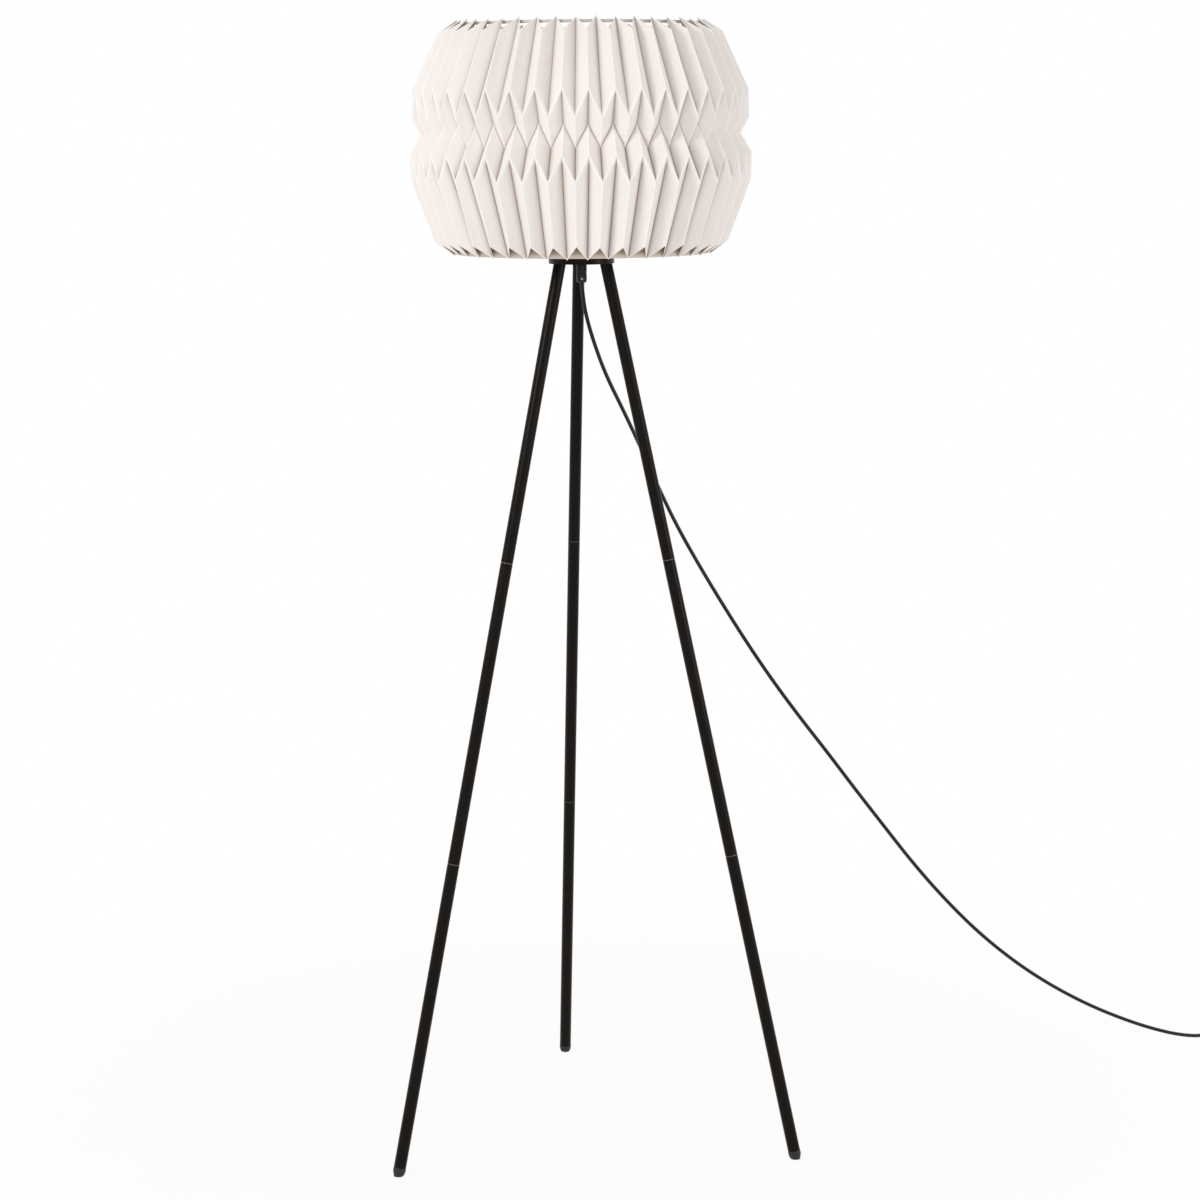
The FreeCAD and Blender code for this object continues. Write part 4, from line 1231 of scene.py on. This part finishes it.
@dataclass
class FootSwitch(SubAssembly):
    """The foot switch: lower shell, upper shell with a sunk ring, sprung button and two strain reliefs."""

    radius: float = 0.032
    top_radius: float = 0.027
    edge: float = 0.0006
    well: float = 0.0174
    well_deep: float = 0.008
    button: float = 0.017
    dish: float = 0.0009
    button_rings: tuple[float, ...] = (0.0118, 0.0088, 0.0058)
    ring_half: float = 0.0007
    heading: float = 14.5
    axis_high: float = 0.0055
    relief_long: float = 0.014
    relief_sunk: float = 0.015

    def shells(self) -> dict[str, list[Ring]]:
        """Draws the two shells.

        Returns:
            Their profiles by name.
        """
        low, high = heights_of("switch_lower_shell")
        lower = [(0.0, low), (self.radius - 0.0016, low), (self.radius, low + 0.0016), (self.radius, high - self.edge),
                 (self.radius - self.edge, high), (0.0, high)]
        low, high = heights_of("switch_upper_shell")
        sunk = high - self.well_deep
        upper = [(0.0, low), (self.radius - self.edge, low), (self.radius, low + self.edge),
                 (self.radius, low + 0.0062), (self.radius - 0.0022, low + 0.0105), (self.top_radius, high),
                 (self.well + 0.0045, high), (self.well + 0.0036, high - self.dish),
                 (self.well + 0.0009, high - self.dish), (self.well, high - 0.0018), (self.well, sunk), (0.0, sunk)]
        return {"lower": softened(lower, 0.001, 4), "upper": softened(upper, 0.0012, 5)}

    def button_profile(self) -> list[Ring]:
        """Draws the dished button with its raised rings.

        Returns:
            Its profile.
        """
        low, high = heights_of("switch_button")
        dish = high - self.dish
        ring = ((self.ring_half, dish), (0.0, high - 0.0005), (-self.ring_half, dish))
        rings = [(radius + out, height) for radius in self.button_rings for out, height in ring]
        return softened([(0.0, low), (self.button, low), (self.button, high - 0.0012), (self.button - 0.0015, high),
                         (self.button - 0.0032, high - 0.0001), (self.button - 0.004, dish), *rings, (0.0, dish)],
                        0.0004, 3)

    def build(self) -> list[Piece]:
        """Makes the switch's pieces.

        Returns:
            The pieces that go with the cord.
        """
        here = centre_of("switch_lower_shell")
        here.z = 0.0
        pieces = [self.fit(lathe(f"switch_{name}_moulding", profile, placed(here), 120), Surface.SWITCH,
                            f"switch_{name}_shell") for name, profile in self.shells().items()]
        button = lathe("switch_press_button", self.button_profile(), placed(here), 96)
        pieces.append(self.fit(button, Surface.SWITCH, "switch_button", body=Body.BUTTON))
        for name, way in (("in", -1), ("out", 1)):
            ahead = heading(self.heading) * way
            seat = here + ahead * self.radius * (1 - self.relief_sunk) + UP * self.axis_high
            profile = Relief().profile(self.relief_long + self.radius * self.relief_sunk)
            relief = lathe("switch_relief_sleeve_" + name, profile, placed(seat, ahead), 40)
            pieces.append(self.fit(relief, Surface.RUBBER, "switch_relief_" + name))
        return pieces


@dataclass
class Plug(SubAssembly):
    """The flat two-pin plug with its strain relief."""

    half_wide: float = 0.0175
    tail_half: float = 0.0065
    length: float = 0.036
    half_thick: float = 0.0068
    tail_thick: float = 0.78
    end_round: float = 0.002
    end_shrink: float = 0.16
    squareness: float = 3.4
    grip: float = 0.0003
    grips: int = 9
    pin_radius: float = 0.002
    sleeve_wall: float = 0.00015
    sections: int = 36
    sides: int = 56

    def half_sizes(self, share: float) -> Ring:
        """Gives the body's half width and half thickness.

        Args:
            share: Share of its length from the cord's end.

        Returns:
            The half width and the half thickness.
        """
        rise = min(max((share - 0.2) / 0.34, 0.0), 1.0)
        wide = self.tail_half + (self.half_wide - self.tail_half) * rise * rise * (3 - 2 * rise)
        from_end = min(share, 1 - share) * self.length
        ease = 1 - max(0.0, 1 - from_end / self.end_round) ** 2 * self.end_shrink
        rib = self.grip * max(0.0, math.sin(share * 2 * math.pi * self.grips)) if 0.5 < share < 0.86 else 0.0
        thick = self.half_thick * (self.tail_thick + (1 - self.tail_thick) * min(share / 0.5, 1.0))
        return wide * ease, thick * ease - rib

    def body(self, tail: Vector) -> Piece:
        """Makes the plug's body: rounded sections that widen to its shoulders, with grip ribs.

        Args:
            tail: The middle of the body's end at the cord.

        Returns:
            The body.
        """
        power = 2 / self.squareness
        vertices = []
        for section in range(self.sections + 1):
            share = section / self.sections
            wide, thick = self.half_sizes(share)
            for side in range(self.sides):
                angle = 2 * math.pi * side / self.sides
                across, up = (math.copysign(abs(part) ** power, part) for part in (math.cos(angle), math.sin(angle)))
                vertices.append(tail + Vector((across * wide, -share * self.length, up * thick)))
        rings = [range(section * self.sides, (section + 1) * self.sides) for section in range(self.sections + 1)]
        faces: list[Sequence[int]] = [(low[side - 1], low[side], high[side], high[side - 1])
                                      for low, high in zip(rings, rings[1:]) for side in range(self.sides)]
        faces += [rings[0], rings[-1]]
        piece = new_object("plug_moulded_body", vertices, faces)
        close_up(piece, BOLD_EDGE)
        return piece

    def root_of(self, node: str) -> Vector:
        """Finds the middle of the face of a node's box that looks back along the cord."""
        middle = centre_of(node)
        return Vector((middle.x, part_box(node)[1].y, middle.z))

    def build(self) -> list[Piece]:
        """Makes the plug's pieces.

        Returns:
            The pieces that go with the cord.
        """
        tail = self.root_of("plug_body")
        back = Vector((0.0, -1.0, 0.0))
        pieces = [self.fit(self.body(tail), Surface.RUBBER, "plug_body")]
        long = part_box("plug_relief")[1].y - tail.y
        relief = lathe("plug_relief_sleeve", Relief().profile(long), placed(tail, -back), 40)
        pieces.append(self.fit(relief, Surface.RUBBER, "plug_relief"))
        radius, skin = self.pin_radius, self.pin_radius + self.sleeve_wall
        sleeve = softened([(radius, -0.0005), (skin, -0.0005), (skin, 0.0095), (radius, 0.0098)], 0.0001, 2)
        for name in ("plug_pin_left", "plug_pin_right"):
            root = self.root_of(name)
            place = placed(root, back)
            long = root.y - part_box(name)[0].y
            metal = softened([(0.0, -0.001), (radius, -0.001), (radius, long - 0.0014), (0.0008, long), (0.0, long)],
                             0.001, 5)
            pieces.append(self.fit(lathe(name + "_metal", metal, place, 32), Surface.NICKEL, name))
            pieces.append(self.fit(lathe(name + "_sleeve", sleeve, place, 32), Surface.RUBBER))
        return pieces


# ---- the whole scene


def main() -> None:
    """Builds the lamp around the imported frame, in order."""
    logging.basicConfig(level=logging.INFO, format="%(name)s: %(message)s")
    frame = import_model()
    bpy.context.scene.view_settings.view_transform = "Standard"
    axis = centre_of("threaded_stem")
    axis.z = 0.0
    studio = Studio()
    studio.camera(axis)
    studio.lights()
    studio.floor()
    effects = Effects()
    shared = (frame, axis, {surface: surface.value.material(effects) for surface in Surface})
    cord = Cord(*shared)
    curves = cord.build()
    Stand(*shared).build()
    gland = Gland(*shared).build()
    for assembly in (Lampholder, Bulb, Carrier, PaperShade):
        assembly(*shared).build()
    switch = FootSwitch(*shared).build()
    cord.declare(curves, [*gland, *switch], Plug(*shared).build())


if __name__ == "__main__":
    main()
